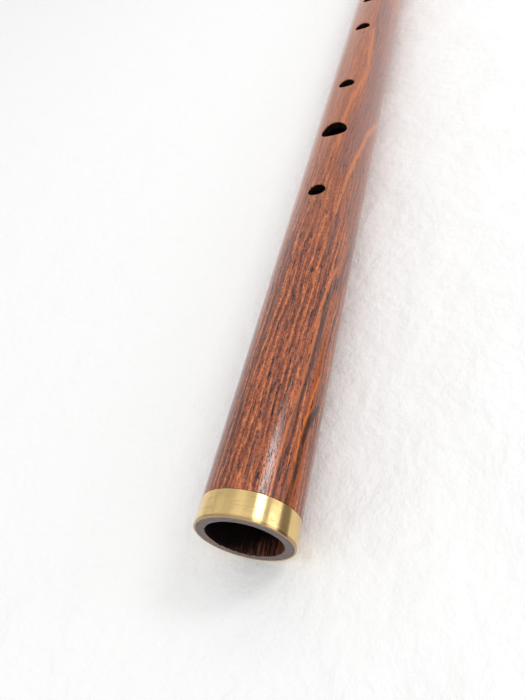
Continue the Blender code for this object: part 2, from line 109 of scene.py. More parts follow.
# Lace
LACE_DIAMETER = 2.2 * MM
LACE_TURNS = 4
LACE_PITCH = 2.8 * MM
LACE_TUCK_RADIUS = 4.6 * MM
LACE_LEAD = 0.8 * MM
LACE_FREE_END = 7.0 * MM
LACE_GRIP_GAP = 0.1 * MM
LACE_POINTS_PER_TURN = 72
LACE_SIDES = 20
LACE_UNEVENNESS = 0.03
LACE_LUMPS_PER_METRE = 900

# Places that the frame gives
TUBE_LOW, TUBE_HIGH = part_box("body_tube")
FOOT = TUBE_LOW.x
TUBE_END = TUBE_HIGH.x
AXIS = (TUBE_LOW.z + TUBE_HIGH.z) / 2
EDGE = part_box("flue_plate")[0].x
BLOCK_LOW, BLOCK_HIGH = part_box("block")
BLOCK_FRONT = BLOCK_LOW.x + BEAK_LENGTH
BLOCK_BASE = BLOCK_LOW.z
SADDLE_MIDDLE = BLOCK_FRONT + HEAD_LENGTH + SADDLE_LENGTH / 2
EXIT_START = BLOCK_FRONT + FLUE_LENGTH
OPENINGS = {opening["name"]: opening["box_m"] for opening in frame["record"]["physics"]["openings"]}
HOLE_BOXES = [OPENINGS["finger_hole_%d" % (index + 1)] for index in range(len(HOLE_DIAMETERS))]
HOLE_PLACES = [(low[0] + high[0]) / 2 for low, high in HOLE_BOXES]
NEST_HEIGHT = sqrt(TUBE_RADIUS**2 - NEST_HALF_WIDTH**2)

WELD_DISTANCE = 0.001 * MM


# Mesh helpers


class Skin:
    """A mesh made face by face, in which corners that lie in one place are one vertex."""

    def __init__(self):
        self.bm = bmesh.new()
        self.found = {}

    def corner(self, place):
        key = tuple(round(value / WELD_DISTANCE) for value in place)
        if key not in self.found:
            self.found[key] = self.bm.verts.new(place)
        return self.found[key]

    def face(self, places, zone=0):
        corners = list(dict.fromkeys(self.corner(place) for place in places))
        if len(corners) > 2:
            self.bm.faces.new(corners).material_index = zone

    def strip(self, first, second, zone=0, closed=False):
        """The faces between two rows of corners."""
        count = len(first)
        for index in range(count if closed else count - 1):
            after = (index + 1) % count
            self.face((first[index], first[after], second[after], second[index]), zone)


def finish_mesh(bm, name, looks, sharp_angle=None):
    """The mesh made from bm, with its faces pointing out and shaded smooth."""
    bmesh.ops.recalc_face_normals(bm, faces=bm.faces)
    mesh = bpy.data.meshes.new(name)
    bm.to_mesh(mesh)
    bm.free()
    for look in looks:
        mesh.materials.append(look)
    mesh.shade_smooth()
    if sharp_angle:
        mesh.set_sharp_from_angle(angle=radians(sharp_angle))
    return mesh


def bridge(bm, ring, following):
    """The faces between two closed rings of vertices."""
    for index in range(len(ring)):
        after = (index + 1) % len(ring)
        bm.faces.new((ring[index], ring[after], following[after], following[index]))


def add_object(name, data):
    made = bpy.data.objects.new(name, data)
    bpy.context.scene.collection.objects.link(made)
    return made


def add_piece(name, mesh, body, node):
    """Adds a piece that rides on a body and stands for a CAD node, which it hides."""
    piece = add_object(name, mesh)
    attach(piece, body)
    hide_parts(node)
    return piece


def ease_edges(piece, width, which):
    bevel = piece.modifiers.new("eased_edges", "BEVEL")
    bevel.limit_method = which
    bevel.width = width
    bevel.segments = 3
    bevel.harden_normals = True


def eased(corners):
    """A closed outline of (along, across) points, from corners of (along, across, rounding)."""
    steps = 6
    outline = []
    for index, (along, across, rounding) in enumerate(corners):
        here = Vector((along, across))
        if not rounding:
            outline.append(here)
            continue
        before = (Vector(corners[index - 1][:2]) - here).normalized() * rounding
        after = (Vector(corners[(index + 1) % len(corners)][:2]) - here).normalized() * rounding
        for step in range(steps + 1):
            share = step / steps
            outline.append(here + (1 - share) ** 2 * before + share**2 * after)
    return outline


def turned(outline, start):
    """A closed outline of (along, radius) points, counted from start, turned round the tube's axis."""
    skin = Skin()
    angles = [2 * pi * side / TURNED_SIDES for side in range(TURNED_SIDES)]
    rings = [[on_tube(start + along, angle, radius) for angle in angles] for along, radius in outline]
    for ring, following in zip(rings, rings[1:] + rings[:1]):
        skin.strip(ring, following, closed=True)
    return skin.bm


def on_tube(x, angle, radius):
    return Vector((x, radius * sin(angle), AXIS + radius * cos(angle)))


# Materials


class Value:
    """A value in a node tree, so that sums and products of values are written as formulas."""

    def __init__(self, nodes, socket):
        self.nodes = nodes
        self.socket = socket

    def __add__(self, other):
        return self.nodes.math("ADD", self, other)

    def __sub__(self, other):
        return self.nodes.math("SUBTRACT", self, other)

    def __rsub__(self, other):
        return self.nodes.math("SUBTRACT", other, self)

    def __mul__(self, other):
        return self.nodes.math("MULTIPLY", self, other)

    def __truediv__(self, other):
        return self.nodes.math("DIVIDE", self, other)


class Nodes:
    """A node tree that is built up by calls, each of which returns a value for the next."""

    def __init__(self, tree):
        self.tree = tree

    def put(self, socket, value):
        if isinstance(value, Value):
            self.tree.links.new(value.socket, socket)
        elif socket.type == "RGBA":
            socket.default_value = (*value, 1.0)
        else:
            socket.default_value = value

    def node(self, kind, inputs, output=0, **settings):
        """What a new node gives at its output, with inputs and output by name or number."""
        made = self.tree.nodes.new("ShaderNode" + kind)
        for key, value in settings.items():
            setattr(made, key, value)
        for key, value in inputs.items():
            self.put(made.inputs[key], value)
        return Value(self, made.outputs[output])

    def math(self, operation, *values):
        return self.node("Math", dict(enumerate(values)), operation=operation)

    def vector(self, operation, *values, output=0):
        return self.node("VectorMath", dict(enumerate(values)), output, operation=operation)

    def dot(self, *vectors):
        return self.vector("DOT_PRODUCT", *vectors, output=1)

    def parts(self, vector):
        made = self.tree.nodes.new("ShaderNodeSeparateXYZ")
        self.put(made.inputs[0], vector)
        return [Value(self, output) for output in made.outputs]

    def joined(self, x, y, z):
        return self.node("CombineXYZ", {0: x, 1: y, 2: z})

    def noise(self, sizes, detail=2.0, roughness=0.5, seed=0.0, place=None, output=0):
        """Noise whose spots have these sizes along each axis, in the units of place."""
        rate = tuple(1 / size for size in sizes)
        moved = self.vector("MULTIPLY_ADD", place or self.place, rate, (seed, 1.7 * seed, 2.3 * seed))
        inputs = {"Vector": moved, "Scale": 1.0, "Detail": detail, "Roughness": roughness}
        return self.node("TexNoise", inputs, output)

    def remap(self, value, low, high, to_low=0.0, to_high=1.0):
        """The value brought smoothly from one range to another, and held at its ends."""
        inputs = {"Value": value, "From Min": low, "From Max": high, "To Min": to_low, "To Max": to_high}
        return self.node("MapRange", inputs, interpolation_type="SMOOTHSTEP")

    def mix(self, share, first, second, blend="MIX"):
        """The first colour, with a share of the second."""
        return self.node("Mix", {0: share, 6: first, 7: second}, 2, data_type="RGBA", blend_type=blend)

    def blend(self, value, low, high, first, second, most=1.0):
        """The first colour, which turns into the second as the value goes from low to high."""
        return self.mix(self.remap(value, low, high, 0.0, most), first, second)

    def bump(self, height, strength, distance):
        return self.node("Bump", {"Height": height, "Strength": strength, "Distance": distance})


class Look(Nodes):
    """A material that knows its place on the piece at rest, in millimetres from a centre."""

    def __init__(self, name, centre=(0.0, 0.0, 0.0)):
        self.material = bpy.data.materials.new(name)
        self.material.use_nodes = True
        super().__init__(self.material.node_tree)
        from_centre = self.vector("SUBTRACT", self.node("TexCoord", {}, "Object"), centre)
        self.place = self.vector("MULTIPLY", from_centre, (1 / MM, 1 / MM, 1 / MM))
        self.along, self.across, self.up = self.parts(self.place)

    def shade(self, **inputs):
        """Sets the shader's inputs, which are written with small letters and underscores."""
        shader = self.tree.nodes["Principled BSDF"]
        for key, value in inputs.items():
            self.put(shader.inputs[key.replace("_", " ").title().replace("Ior", "IOR")], value)
        return self.material


FOOT_CENTRE = (FOOT, 0.0, AXIS)

# Lacquered wood
ORANGE = (0.64, 0.190, 0.060)
RED_BROWN = (0.33, 0.087, 0.040)
DEEP_RED = (0.185, 0.047, 0.030)
DARK_BROWN = (0.075, 0.024, 0.019)
PURPLE = (0.120, 0.054, 0.056)
# A paler brown for the far part of the tube: partly the wood's own tone, partly a painted sheen
CALM_BROWN_AND_SHEEN = (0.44, 0.142, 0.066)
PORE = (0.012, 0.006, 0.006)
# Burnt lines in the carved grooves, with painted shade there
BURNT_AND_SHADED_GROOVE = (0.016, 0.008, 0.006)

# Sanded foot end, bore and finger holes
END_DARK = (0.120, 0.088, 0.090)
END_PALE = (0.190, 0.143, 0.140)
END_SPECK = (0.06, 0.045, 0.045)
TORN_DARK = (0.13, 0.045, 0.032)
TORN_PALE = (0.50, 0.30, 0.22)
BORE_DARK = (0.012, 0.005, 0.004)
BORE_STREAK = (0.20, 0.062, 0.036)
BORE_FIBRE = (0.34, 0.15, 0.09)
# Near black painted shade deep in the bore
BORE_PAINTED_SHADE = (0.002, 0.001, 0.001)
# Burnt hole walls, made near black with painted shade
SOOT_AND_SHADE_DARK = (0.004, 0.003, 0.003)
SOOT_AND_SHADE_PALE = (0.018, 0.009, 0.007)

# Brass
BRASS_BRIGHT = (0.79, 0.57, 0.235)
BRASS_TARNISHED = (0.68, 0.465, 0.20)
BRASS_SCRATCH = (0.88, 0.68, 0.34)
BRASS_SCORE = (0.36, 0.23, 0.11)
BRASS_EDGE = (0.34, 0.21, 0.11)

# Leather and maple
LEATHER_DARK = (0.060, 0.021, 0.010)
LEATHER_BROWN = (0.150, 0.060, 0.028)
LEATHER_RUBBED = (0.235, 0.105, 0.052)
# Painted shade in the lace's creases
LEATHER_CREASE_SHADE = (0.014, 0.006, 0.004)
MAPLE_PALE = (0.64, 0.44, 0.25)
MAPLE_LAYER = (0.50, 0.32, 0.165)
MAPLE_FLECK = (0.38, 0.23, 0.12)

# The grain: millimetres from line to line, and noises that bend the lines, as (sizes, detail, reach in lines)
LINE_SPACING = 1.95
LINE_BENDS = [((80, 10, 10), 2.0, 5.0), ((11, 3, 3), 1.0, 1.25), ((1.5, 0.7, 0.7), 1.0, 0.32)]
# The direction in which the lines of the block and the mouthpiece follow each other, in lines per millimetre
GROWTH = (0.0, 0.42 / LINE_SPACING, 0.91 / LINE_SPACING)


def grain(look, layer, seed=0.0):
    """Rosewood along X: wavy orange lines between dark ones, with pores in rows of short dashes.

    The layer counts the lines across the grain. Returns the colour, the dashes and the lines' relief.
    """
    for sizes, detail, reach in LINE_BENDS:
        layer = (look.noise(sizes, detail, seed=seed + reach) - 0.5) * reach + layer
    wave = look.math("COSINE", layer * (2 * pi))
    back = wave * -1.0

    weights = look.noise((55, 2.3, 2.3), 1.0, seed=seed + 11)
    fibres = look.noise((16, 0.55, 0.55), 3.0, 0.65, seed + 17)
    mottle = look.noise((3.0, 0.5, 0.5), 2.0, 0.65, seed + 29)
    ripple = look.noise((0.75, 0.7, 0.7), 2.0, 0.6, seed + 23)
    threads = look.noise((14, 0.32, 0.32), 2.0, 0.6, seed + 37)
    rows = look.noise((3.2, 0.42, 0.42), 1.0, seed=seed + 31)

    orange = look.remap(wave, 0.15, 0.9) * look.remap(weights, 0.40, 0.57, 0.12, 0.95)
    orange = orange * look.remap(mottle, 0.39, 0.56, 0.18, 1.0)
    orange = look.math("MAXIMUM", orange, look.remap(threads, 0.53, 0.64, 0.0, 0.72))
    dark = look.remap(back, 0.2, 0.9) * look.remap(weights, 0.62, 0.45, 0.2, 1.0)
    dark = dark * look.remap(mottle, 0.60, 0.44, 0.3, 1.0)
    dark = look.math("MAXIMUM", dark, look.remap(threads, 0.46, 0.35, 0.0, 0.8))
    dashes = look.remap(rows, 0.60, 0.65) * look.remap(back, -0.5, 0.1)
    shade = look.blend(fibres, 0.38, 0.60, DEEP_RED, RED_BROWN)
    shade = look.mix(orange, shade, ORANGE)
    shade = look.mix(dark * 0.85, shade, DARK_BROWN)
    level = look.remap(ripple, 0.32, 0.68, 0.68, 1.32)
    shade = look.mix(1.0, shade, look.joined(level, level, level), "MULTIPLY")
    return shade, dashes, mottle * 0.8 + (orange - dark)


def degrees_curve(look, share, points):
    """The degrees on a smooth curve through points of (share, degrees)."""
    made = look.tree.nodes.new("ShaderNodeFloatCurve")
    look.put(made.inputs["Value"], share)
    spots = made.mapping.curves[0].points
    while len(spots) < len(points):
        spots.new(0.5, 0.5)
    for spot, (x, degrees) in zip(spots, points):
        spot.location = (x, degrees / 360 + 0.5)
    made.mapping.update()
    return (Value(look, made.outputs[0]) - 0.5) * 360.0


def streak(look, girth, points):
    """A streak down the tube, with points of (millimetres from the foot, girth angle, half its width)."""
    first, last = points[0][0], points[-1][0]
    share = (look.along - first) / (last - first)
    spots = [((place - first) / (last - first), angle, half) for place, angle, half in points]
    middle = degrees_curve(look, share, [(x, angle) for x, angle, _ in spots])
    half_width = degrees_curve(look, share, [(x, half) for x, _, half in spots])
    away = look.math("ABSOLUTE", girth - middle) / look.math("MAXIMUM", half_width, 0.01)
    ends = look.remap(share, -0.02, 0.04) * look.remap(share, 1.02, 0.96)
    return look.remap(away, 1.5, 0.5) * ends


def lacquered(look, shade, dashes, relief, coat_roughness, coat_ior, coat_bump=None):
    """Wood under clear lacquer, with its dashes sunk and its lines in relief."""
    height = relief * 0.35 - dashes
    if coat_bump:
        look.shade(coat_normal=look.bump(height, 0.4, coat_bump))
    return look.shade(
        base_color=shade,
        roughness=0.42,
        specular_ior_level=0.0,
        normal=look.bump(height, 0.4, 0.08 * MM),
        coat_weight=1.0,
        coat_roughness=coat_roughness,
        coat_ior=coat_ior,
    )


def tube_wood():
    """The lacquered outside of the tube, with the streaks that the photograph shows in their places."""
    look = Look("rosewood_tube", FOOT_CENTRE)
    turn = look.math("ARCTAN2", look.across, look.up)
    lines_round = round(2 * pi * TUBE_RADIUS / MM / LINE_SPACING)
    lines_twist = 0.018
    shade, dashes, relief = grain(look, turn * (lines_round / (2 * pi)) + look.along * lines_twist)

    bend = look.noise((26, 6, 6), seed=41, output="Color")
    sideways, lengthways, _ = look.parts(look.vector("SUBTRACT", bend, (0.5, 0.5, 0.5)))
    reached = lengthways * 60 + look.along
    # From about 90 mm on the wood turns quieter and paler, partly its own tone and partly a painted sheen,
    # and between 330 and 420 mm it turns mostly back.
    calm_and_sheen = look.remap(reached, 90, 106, 0.0, 0.4) + look.remap(reached, 112, 180, 0.0, 0.6)
    calm_and_sheen = calm_and_sheen * look.remap(reached, 420, 330, 0.3, 1.0)
    shade = look.mix(calm_and_sheen * 0.62, shade, CALM_BROWN_AND_SHEEN)
    girth = sideways * 14 + turn * (180 / pi)
    for points, tint, strength in STREAKS.values():
        mask = streak(look, girth, points) * look.remap(relief, 0.2, 1.0, strength, 0.65 * strength)
        shade = look.mix(mask, shade, tint)
    dashes = dashes * look.remap(calm_and_sheen, 0.0, 1.0, 1.0, 0.35)
    shade = look.mix(dashes * 0.9, shade, PORE)
    return lacquered(look, shade, dashes, relief, coat_roughness=0.06, coat_ior=1.48, coat_bump=0.06 * MM)


# Streaks that the photograph shows on the tube, as points of (millimetres from the foot, girth angle and half
# the width in degrees), colour and strength
STREAKS = {
    "left dark line": ([(22, 21, 2), (45, 20, 2.5), (70, 18, 2), (102, 17, 2)], DARK_BROWN, 0.6),
    "smooth orange band": (
        [(0, -66, 9), (20, -68, 9), (40, -69, 7), (60, -69, 6), (84, -78, 4)],
        (0.35, 0.088, 0.026), 0.8,
    ),
    "bright edge": ([(18, -59, 1.5), (26, -63, 2), (36, -68, 2), (46, -72, 1)], (0.66, 0.175, 0.035), 0.9),
    "black streak": (
        [(3, -62, 2.5), (21, -65.5, 3), (29, -70, 4), (34, -77, 4.5), (38, -84, 2)],
        (0.035, 0.014, 0.012), 0.92,
    ),
    "purple streak": (
        [(5, -45, 2), (21, -45, 2.5), (31, -46, 3), (39, -51, 4), (50, -55, 4.5), (60, -57, 4.5),
         (71, -58, 4), (79, -64, 3.5), (87, -70, 3), (97, -74, 2)],
        (0.085, 0.036, 0.036), 0.85,
    ),
    "orange beside it": (
        [(8, -41, 1.5), (24, -40, 2), (40, -46, 2.5), (60, -50, 2.5), (75, -54, 2.5), (90, -62, 2)],
        ORANGE, 0.6,
    ),
    "olive patch": ([(78, -76, 3), (88, -82, 7), (102, -88, 8), (120, -96, 4)], PURPLE, 0.7),
    "red band": ([(84, -66, 4), (98, -69, 6), (112, -71, 6), (128, -74, 3)], (0.42, 0.115, 0.045), 0.7),
    "middle purple line": ([(88, -40, 3), (104, -43, 6), (118, -45, 5), (130, -46, 3)], PURPLE, 0.62),
    "right purple field": (
        [(98, -80, 6), (133, -70, 18), (157, -74, 18), (200, -84, 14), (300, -86, 14)],
        (0.20, 0.082, 0.064), 0.6,
    ),
    "rising orange line": (
        [(108, -41, 1.5), (123, -43, 3), (140, -49, 3.5), (159, -61, 4), (172, -73, 5), (181, -86, 5),
         (190, -108, 5)],
        (0.62, 0.19, 0.055), 0.75,
    ),
    "upper orange line": (
        [(150, -16, 2.5), (183, -18, 4), (195, -23, 4), (206, -32, 4.5), (219, -37, 4), (229, -33, 4),
         (244, -30, 4), (262, -31, 3)],
        (0.60, 0.185, 0.055), 0.7,
    ),
    "upper purple field": (
        [(135, -32, 6), (158, -40, 14), (182, -52, 19), (206, -60, 20), (240, -56, 16), (300, -50, 12)],
        (0.215, 0.088, 0.074), 0.85,
    ),
    "far purple line": ([(236, -40, 2), (262, -37, 6), (300, -36, 9)], (0.17, 0.075, 0.065), 0.7),
}


def plain_wood(name, tint, depth, centre, seed, carved=False):
    """The same wood for the block and the mouthpiece, mixed with a tint, and darker in carved grooves the
    deeper they are: burnt lines with painted shade.
    """
    look = Look(name, centre)
    shade, dashes, relief = grain(look, look.dot(look.place, GROWTH), seed)
    shade = look.mix(depth, shade, tint)
    shade = look.mix(dashes * 0.8, shade, PORE)
    if carved:
        groove_depth = look.node("Attribute", {}, "Fac", attribute_name="carved")
        # Burnt lines with painted shade: the grooves darken the deeper they are carved.
        shade = look.blend(groove_depth, 0.04, 0.26, shade, BURNT_AND_SHADED_GROOVE, 0.88)
    return lacquered(look, shade, dashes, relief, coat_roughness=0.1, coat_ior=1.5)


def end_grain():
    """The sanded foot end: specks, growth layers across it, and torn fibres at the bore's edge."""
    look = Look("rosewood_end", FOOT_CENTRE)
    layers = look.noise((40, 3.0, 0.55), seed=2)
    specks = look.noise((0.3, 0.16, 0.16), 2.0, 0.7, 7)
    shade = look.blend(layers, 0.35, 0.65, END_DARK, END_PALE)
    shade = look.blend(specks, 0.58, 0.70, shade, END_SPECK)
    spread = look.math("SQRT", look.across * look.across + look.up * look.up)
    torn = look.noise((0.5, 0.5, 0.5), 3.0, 0.7, 21) * 3.2 + (BORE_RADIUS / MM - spread)
    side = look.dot(look.place, (0.0, sin(TORN_ANGLE), cos(TORN_ANGLE)))
    torn = look.remap(torn, 0.7, 1.2) * look.remap(side, 3.0, 7.0, 0.0, 0.9)
    fibre = look.blend(specks, 0.40, 0.60, TORN_DARK, TORN_PALE)
    shade = look.mix(torn, shade, fibre)
    return look.shade(base_color=shade, roughness=0.55, normal=look.bump(specks, 0.3, 0.05 * MM))


def bore_wood():
    """The bored inside: unfinished dark wood with streaks along it, and painted shade that darkens it further
    in and towards +Y.
    """
    look = Look("rosewood_bore", FOOT_CENTRE)
    streaks = look.noise((14, 0.7, 0.7), 3.0, 0.6, 13)
    fibres = look.noise((2.5, 0.3, 0.3), seed=19)
    shade = look.blend(streaks, 0.42, 0.64, BORE_DARK, BORE_STREAK)
    shade = look.blend(fibres, 0.58, 0.72, shade, BORE_FIBRE)
    # Painted shade: the bore turns near black a few millimetres in from the foot, sooner towards +Y.
    deep = look.across * 0.45 + look.along * 0.8
    shade = look.blend(deep, -1.2, 4.6, shade, BORE_PAINTED_SHADE, 0.97)
    normal = look.bump(fibres, 0.6, 0.2 * MM)
    return look.shade(base_color=shade, roughness=0.6, specular_ior_level=0.1, normal=normal)


def hole_wood():
    """The walls of the finger holes: dark from burning, and near black with painted shade, as inside a hole.
    """
    look = Look("rosewood_hole", FOOT_CENTRE)
    soot_and_shade = look.noise((1.2, 1.2, 1.2), 3.0, seed=37)
    # Burnt wood with painted shade: the walls are near black.
    shade = look.blend(soot_and_shade, 0.3, 0.7, SOOT_AND_SHADE_DARK, SOOT_AND_SHADE_PALE)
    normal = look.bump(soot_and_shade, 0.3, 0.1 * MM)
    return look.shade(base_color=shade, roughness=0.6, specular_ior_level=0.1, normal=normal)


def brass(name, end):
    """Turned brass: fine scratches round it, a few short nicks, and some tarnish, most at its end."""
    look = Look(name, (end, 0.0, AXIS))
    girth = look.math("ARCTAN2", look.across, look.up) * (TUBE_RADIUS / MM)
    unrolled = look.joined(look.along, girth, 0.0)
    scratches = look.noise((0.09, 14, 1), 3.0, 0.7, 3, unrolled)
    scores = look.noise((0.16, 5, 1), 2.0, 0.6, 8, unrolled)
    tarnish = look.noise((3.5, 3.5, 3.5), 3.0, 0.6, 14)
    score = look.remap(scores, 0.64, 0.70)
    shade = look.blend(tarnish, 0.35, 0.7, BRASS_BRIGHT, BRASS_TARNISHED)
    shade = look.blend(scratches, 0.35, 0.65, shade, BRASS_SCRATCH, 0.4)
    shade = look.mix(score * 0.75, shade, BRASS_SCORE)
    from_end = look.math("ABSOLUTE", look.along) + scores * -0.9
    shade = look.blend(from_end, 0.45, 0.02, shade, BRASS_EDGE, 0.75)
    return look.shade(
        base_color=shade,
        metallic=1.0,
        roughness=look.remap(tarnish, 0.3, 0.7, 0.17, 0.26),
        anisotropic=0.8,
        anisotropic_rotation=0.25,
        tangent=look.node("Tangent", {}, direction_type="RADIAL", axis="X"),
        normal=look.bump(scratches - score, 0.16, 0.02 * MM),
    )


def leather():
    """Round leather cord: dark brown, pebbled and creased, with painted shade in its creases, and paler where
    it is rubbed.
    """
    look = Look("leather_cord", (BLOCK_FRONT, 0.0, AXIS))
    pebbles = look.node("TexVoronoi", {"Vector": look.place, "Scale": 2.6}, feature="SMOOTH_F1")
    wear = look.noise((3, 3, 3), 3.0, 0.6, 9)
    crease = look.remap(look.noise((0.9, 0.32, 0.32), 3.0, 0.65, 4), 0.56, 0.66)
    shade = look.blend(wear, 0.38, 0.66, LEATHER_DARK, LEATHER_BROWN)
    shade = look.blend(pebbles, 0.25, 0.6, shade, LEATHER_RUBBED, 0.5)
    # Painted shade: the creases, which the bump sinks, are darkened nearly to black.
    shade = look.mix(crease * 0.8, shade, LEATHER_CREASE_SHADE)
    return look.shade(
        base_color=shade,
        roughness=look.remap(wear, 0.3, 0.7, 0.68, 0.5),
        specular_ior_level=0.2,
        normal=look.bump(pebbles - crease * 0.7, 0.9, 0.18 * MM),
    )


def maple():
    """Plain maple, with its growth layers and short flecks."""
    look = Look("maple_plug", FOOT_CENTRE)
    layers = look.noise((30, 1.6, 0.5), seed=6)
    flecks = look.noise((1.5, 0.25, 0.25), seed=12)
    shade = look.blend(layers, 0.35, 0.65, MAPLE_PALE, MAPLE_LAYER)
    shade = look.blend(flecks, 0.6, 0.72, shade, MAPLE_FLECK, 0.5)
    return look.shade(base_color=shade, roughness=0.6, normal=look.bump(flecks, 0.2, 0.05 * MM))


# Tube. Lines run along it and are counted from the top: FLUE_LINE lies at the flue's side, NEST_LINE
# at the nest's, and HALF_LINES at the bottom.

HALF_LINES = 64
FLUE_LINE = 7
NEST_LINE = 10
OUTER_MARKS = [
    (0, 0.0),
    (FLUE_LINE, asin(FLUE_WIDTH / 2 / TUBE_RADIUS)),
    (NEST_LINE, acos(NEST_HEIGHT / TUBE_RADIUS)),
    (HALF_LINES, pi),
]
INNER_MARKS = [(0, 0.0), (FLUE_LINE, asin(FLUE_WIDTH / 2 / BORE_RADIUS)), (HALF_LINES, pi)]
SIDE_ZONE, END_ZONE, BORE_ZONE, HOLE_ZONE, RIM_ZONE = range(5)
PATCH_STEPS = 5
PATCH_CELL = 0.6 * MM
RING_SPACING = 8.0 * MM
RAMP_STEPS = 6
WALL_SHARES = (0.0, 0.14, 0.4, 0.7, 1.0)
EASED_ANGLE = radians(35)


def line_angle(line, marks):
    return copysign(np.interp(abs(line), *zip(*marks)), line)


def patch_cells(diameter):
    """How many lines a finger hole's patch reaches to either side of the top."""
    return 13 if diameter > 9 * MM else 10


def spaced(start, end):
    steps = max(1, ceil((end - start) / RING_SPACING))
    return [start + (end - start) * step / steps for step in range(steps + 1)]


def tube_stretches():
    """The tube from ferrule to ferrule as (kind, ring places, how many lines are open to each side)."""
    seat = FERRULE_LENGTH + GLUE_LINE
    nest_start = EDGE - NEST_BEFORE_EDGE
    nest_end = BLOCK_HIGH.x + NEST_BEHIND_BLOCK
    ramp_start = EDGE - EDGE_RAMP_LENGTH
    stretches = []
    place = FOOT + seat
    for centre, diameter in zip(HOLE_PLACES, HOLE_DIAMETERS):
        cells = patch_cells(diameter)
        rings = [centre + PATCH_CELL * cell for cell in range(-cells, cells + 1)]
        stretches.append(("round", spaced(place, rings[0]), 0))
        stretches.append(("round", rings, cells))
        place = rings[-1]
    return stretches + [
        ("round", spaced(place, nest_start), 0),
        ("nest", spaced(nest_start, ramp_start), 0),
        ("ramp", [ramp_start + EDGE_RAMP_LENGTH * step / RAMP_STEPS for step in range(RAMP_STEPS + 1)], 0),
        ("hole", spaced(EDGE, BLOCK_FRONT), FLUE_LINE),
        ("nest", spaced(BLOCK_FRONT, EXIT_START), 0),
        ("hole", spaced(EXIT_START, EXIT_START + EXIT_LENGTH), FLUE_LINE),
        ("nest", spaced(EXIT_START + EXIT_LENGTH, nest_end), 0),
        ("round", spaced(nest_end, TUBE_END - seat), 0),
    ]


def outer_corner(kind, x, line, sloping=False):
    """A corner of the tube's outside. In the nest it is cut down, and further down on the slope."""
    corner = on_tube(x, line_angle(line, OUTER_MARKS), TUBE_RADIUS)
    if kind != "round" and abs(line) <= NEST_LINE:
        corner.z = AXIS + NEST_HEIGHT
        if sloping:
            share = (x - EDGE + EDGE_RAMP_LENGTH) / EDGE_RAMP_LENGTH
            corner.z -= EDGE_RAMP_DEPTH * share
    return corner


def inner_corner(x, line):
    return on_tube(x, line_angle(line, INNER_MARKS), BORE_RADIUS)


def add_sides(skin, kind, rings, open_lines):
    for x, following in zip(rings, rings[1:]):
        for line in range(-HALF_LINES, HALF_LINES):
            if abs(line + 0.5) < open_lines:
                continue
            sloping = kind == "ramp" and abs(line + 0.5) < FLUE_LINE
            spots = ((x, line), (following, line), (following, line + 1), (x, line + 1))
            skin.face([outer_corner(kind, *spot, sloping) for spot in spots], SIDE_ZONE)
            skin.face([inner_corner(*spot) for spot in spots], BORE_ZONE)


def add_nest_walls(skin, stretches):
    """The steps at both ends of the nest, and at both sides of the slope."""
    for (kind, rings, _), (next_kind, _, _) in zip(stretches, stretches[1:]):
        if (kind == "round") != (next_kind == "round"):
            lines = range(-NEST_LINE, NEST_LINE + 1)
            top = [outer_corner("round", rings[-1], line) for line in lines]
            skin.strip(top, [outer_corner("nest", rings[-1], line) for line in lines], SIDE_ZONE)
        if kind == "ramp":
            for line in (-FLUE_LINE, FLUE_LINE):
                top = [outer_corner(kind, x, line) for x in rings]
                skin.strip(top, [outer_corner(kind, x, line, True) for x in rings], SIDE_ZONE)


def add_flue_hole(skin, rings, sloping):
    """The walls of the sound hole, whose near wall ends at the splitting edge, or of the exit hole."""
    lines = range(-FLUE_LINE, FLUE_LINE + 1)
    for x, slopes in ((rings[0], sloping), (rings[-1], False)):
        top = [outer_corner("nest", x, line, slopes) for line in lines]
        skin.strip(top, [inner_corner(x, line) for line in lines], SIDE_ZONE)
    for line in (-FLUE_LINE, FLUE_LINE):
        for index, (x, following) in enumerate(zip(rings, rings[1:])):
            wall = [inner_corner(x, line), inner_corner(following, line)]
            wall += [outer_corner("nest", following, line), outer_corner("nest", x, line)]
            if sloping and index == 0:
                wall.append(outer_corner("nest", x, line, True))
            skin.face(wall, SIDE_ZONE)


def square_spot(number, cells):
    """The number-th of 8 * cells corners round a square that reaches cells to each side."""
    side, step = divmod(number + cells, 2 * cells)
    spot = (cells, step - cells)
    for _ in range(side % 4):
        spot = (-spot[1], spot[0])
    return spot


def add_finger_hole(skin, centre, diameter):
    """The patches round a finger hole, outside and in the bore, and the wall between them."""
    cells = patch_cells(diameter)
    rims = []
    for radius, marks, zone in ((TUBE_RADIUS, OUTER_MARKS, SIDE_ZONE), (BORE_RADIUS, INNER_MARKS, BORE_ZONE)):
        spokes = []
        for number in range(8 * cells):
            turn = 2 * pi * number / (8 * cells)
            rim = Vector((centre + diameter / 2 * cos(turn), asin(diameter / 2 * sin(turn) / radius)))
            cell, line = square_spot(number, cells)
            border = Vector((centre + PATCH_CELL * cell, line_angle(line, marks)))
            spokes.append([rim.lerp(border, step / PATCH_STEPS) for step in range(PATCH_STEPS + 1)])
        rows = [[on_tube(*spoke[step], radius) for spoke in spokes] for step in range(PATCH_STEPS + 1)]
        for row, following in zip(rows, rows[1:]):
            skin.strip(row, following, zone, closed=True)
        rims.append(rows[0])
    rows = [[top.lerp(bottom, share) for top, bottom in zip(*rims)] for share in WALL_SHARES]
    skin.strip(rows[0], rows[1], RIM_ZONE, closed=True)
    for row, following in zip(rows[1:], rows[2:]):
        skin.strip(row, following, HOLE_ZONE, closed=True)


def raggedness(angle):
    """How far the drill tore the bore's edge at the foot, which is most round TORN_ANGLE."""
    spot = BORE_RADIUS / MM * Vector((cos(angle), sin(angle), 0.07))
    torn = sum(share * max(0.0, noise.noise(rate * spot)) for share, rate in TEARS)
    facing = max(0.0, cos(angle - TORN_ANGLE))
    return BORE_RAGGEDNESS * torn * (TORN_ELSEWHERE + (1 - TORN_ELSEWHERE) * facing)


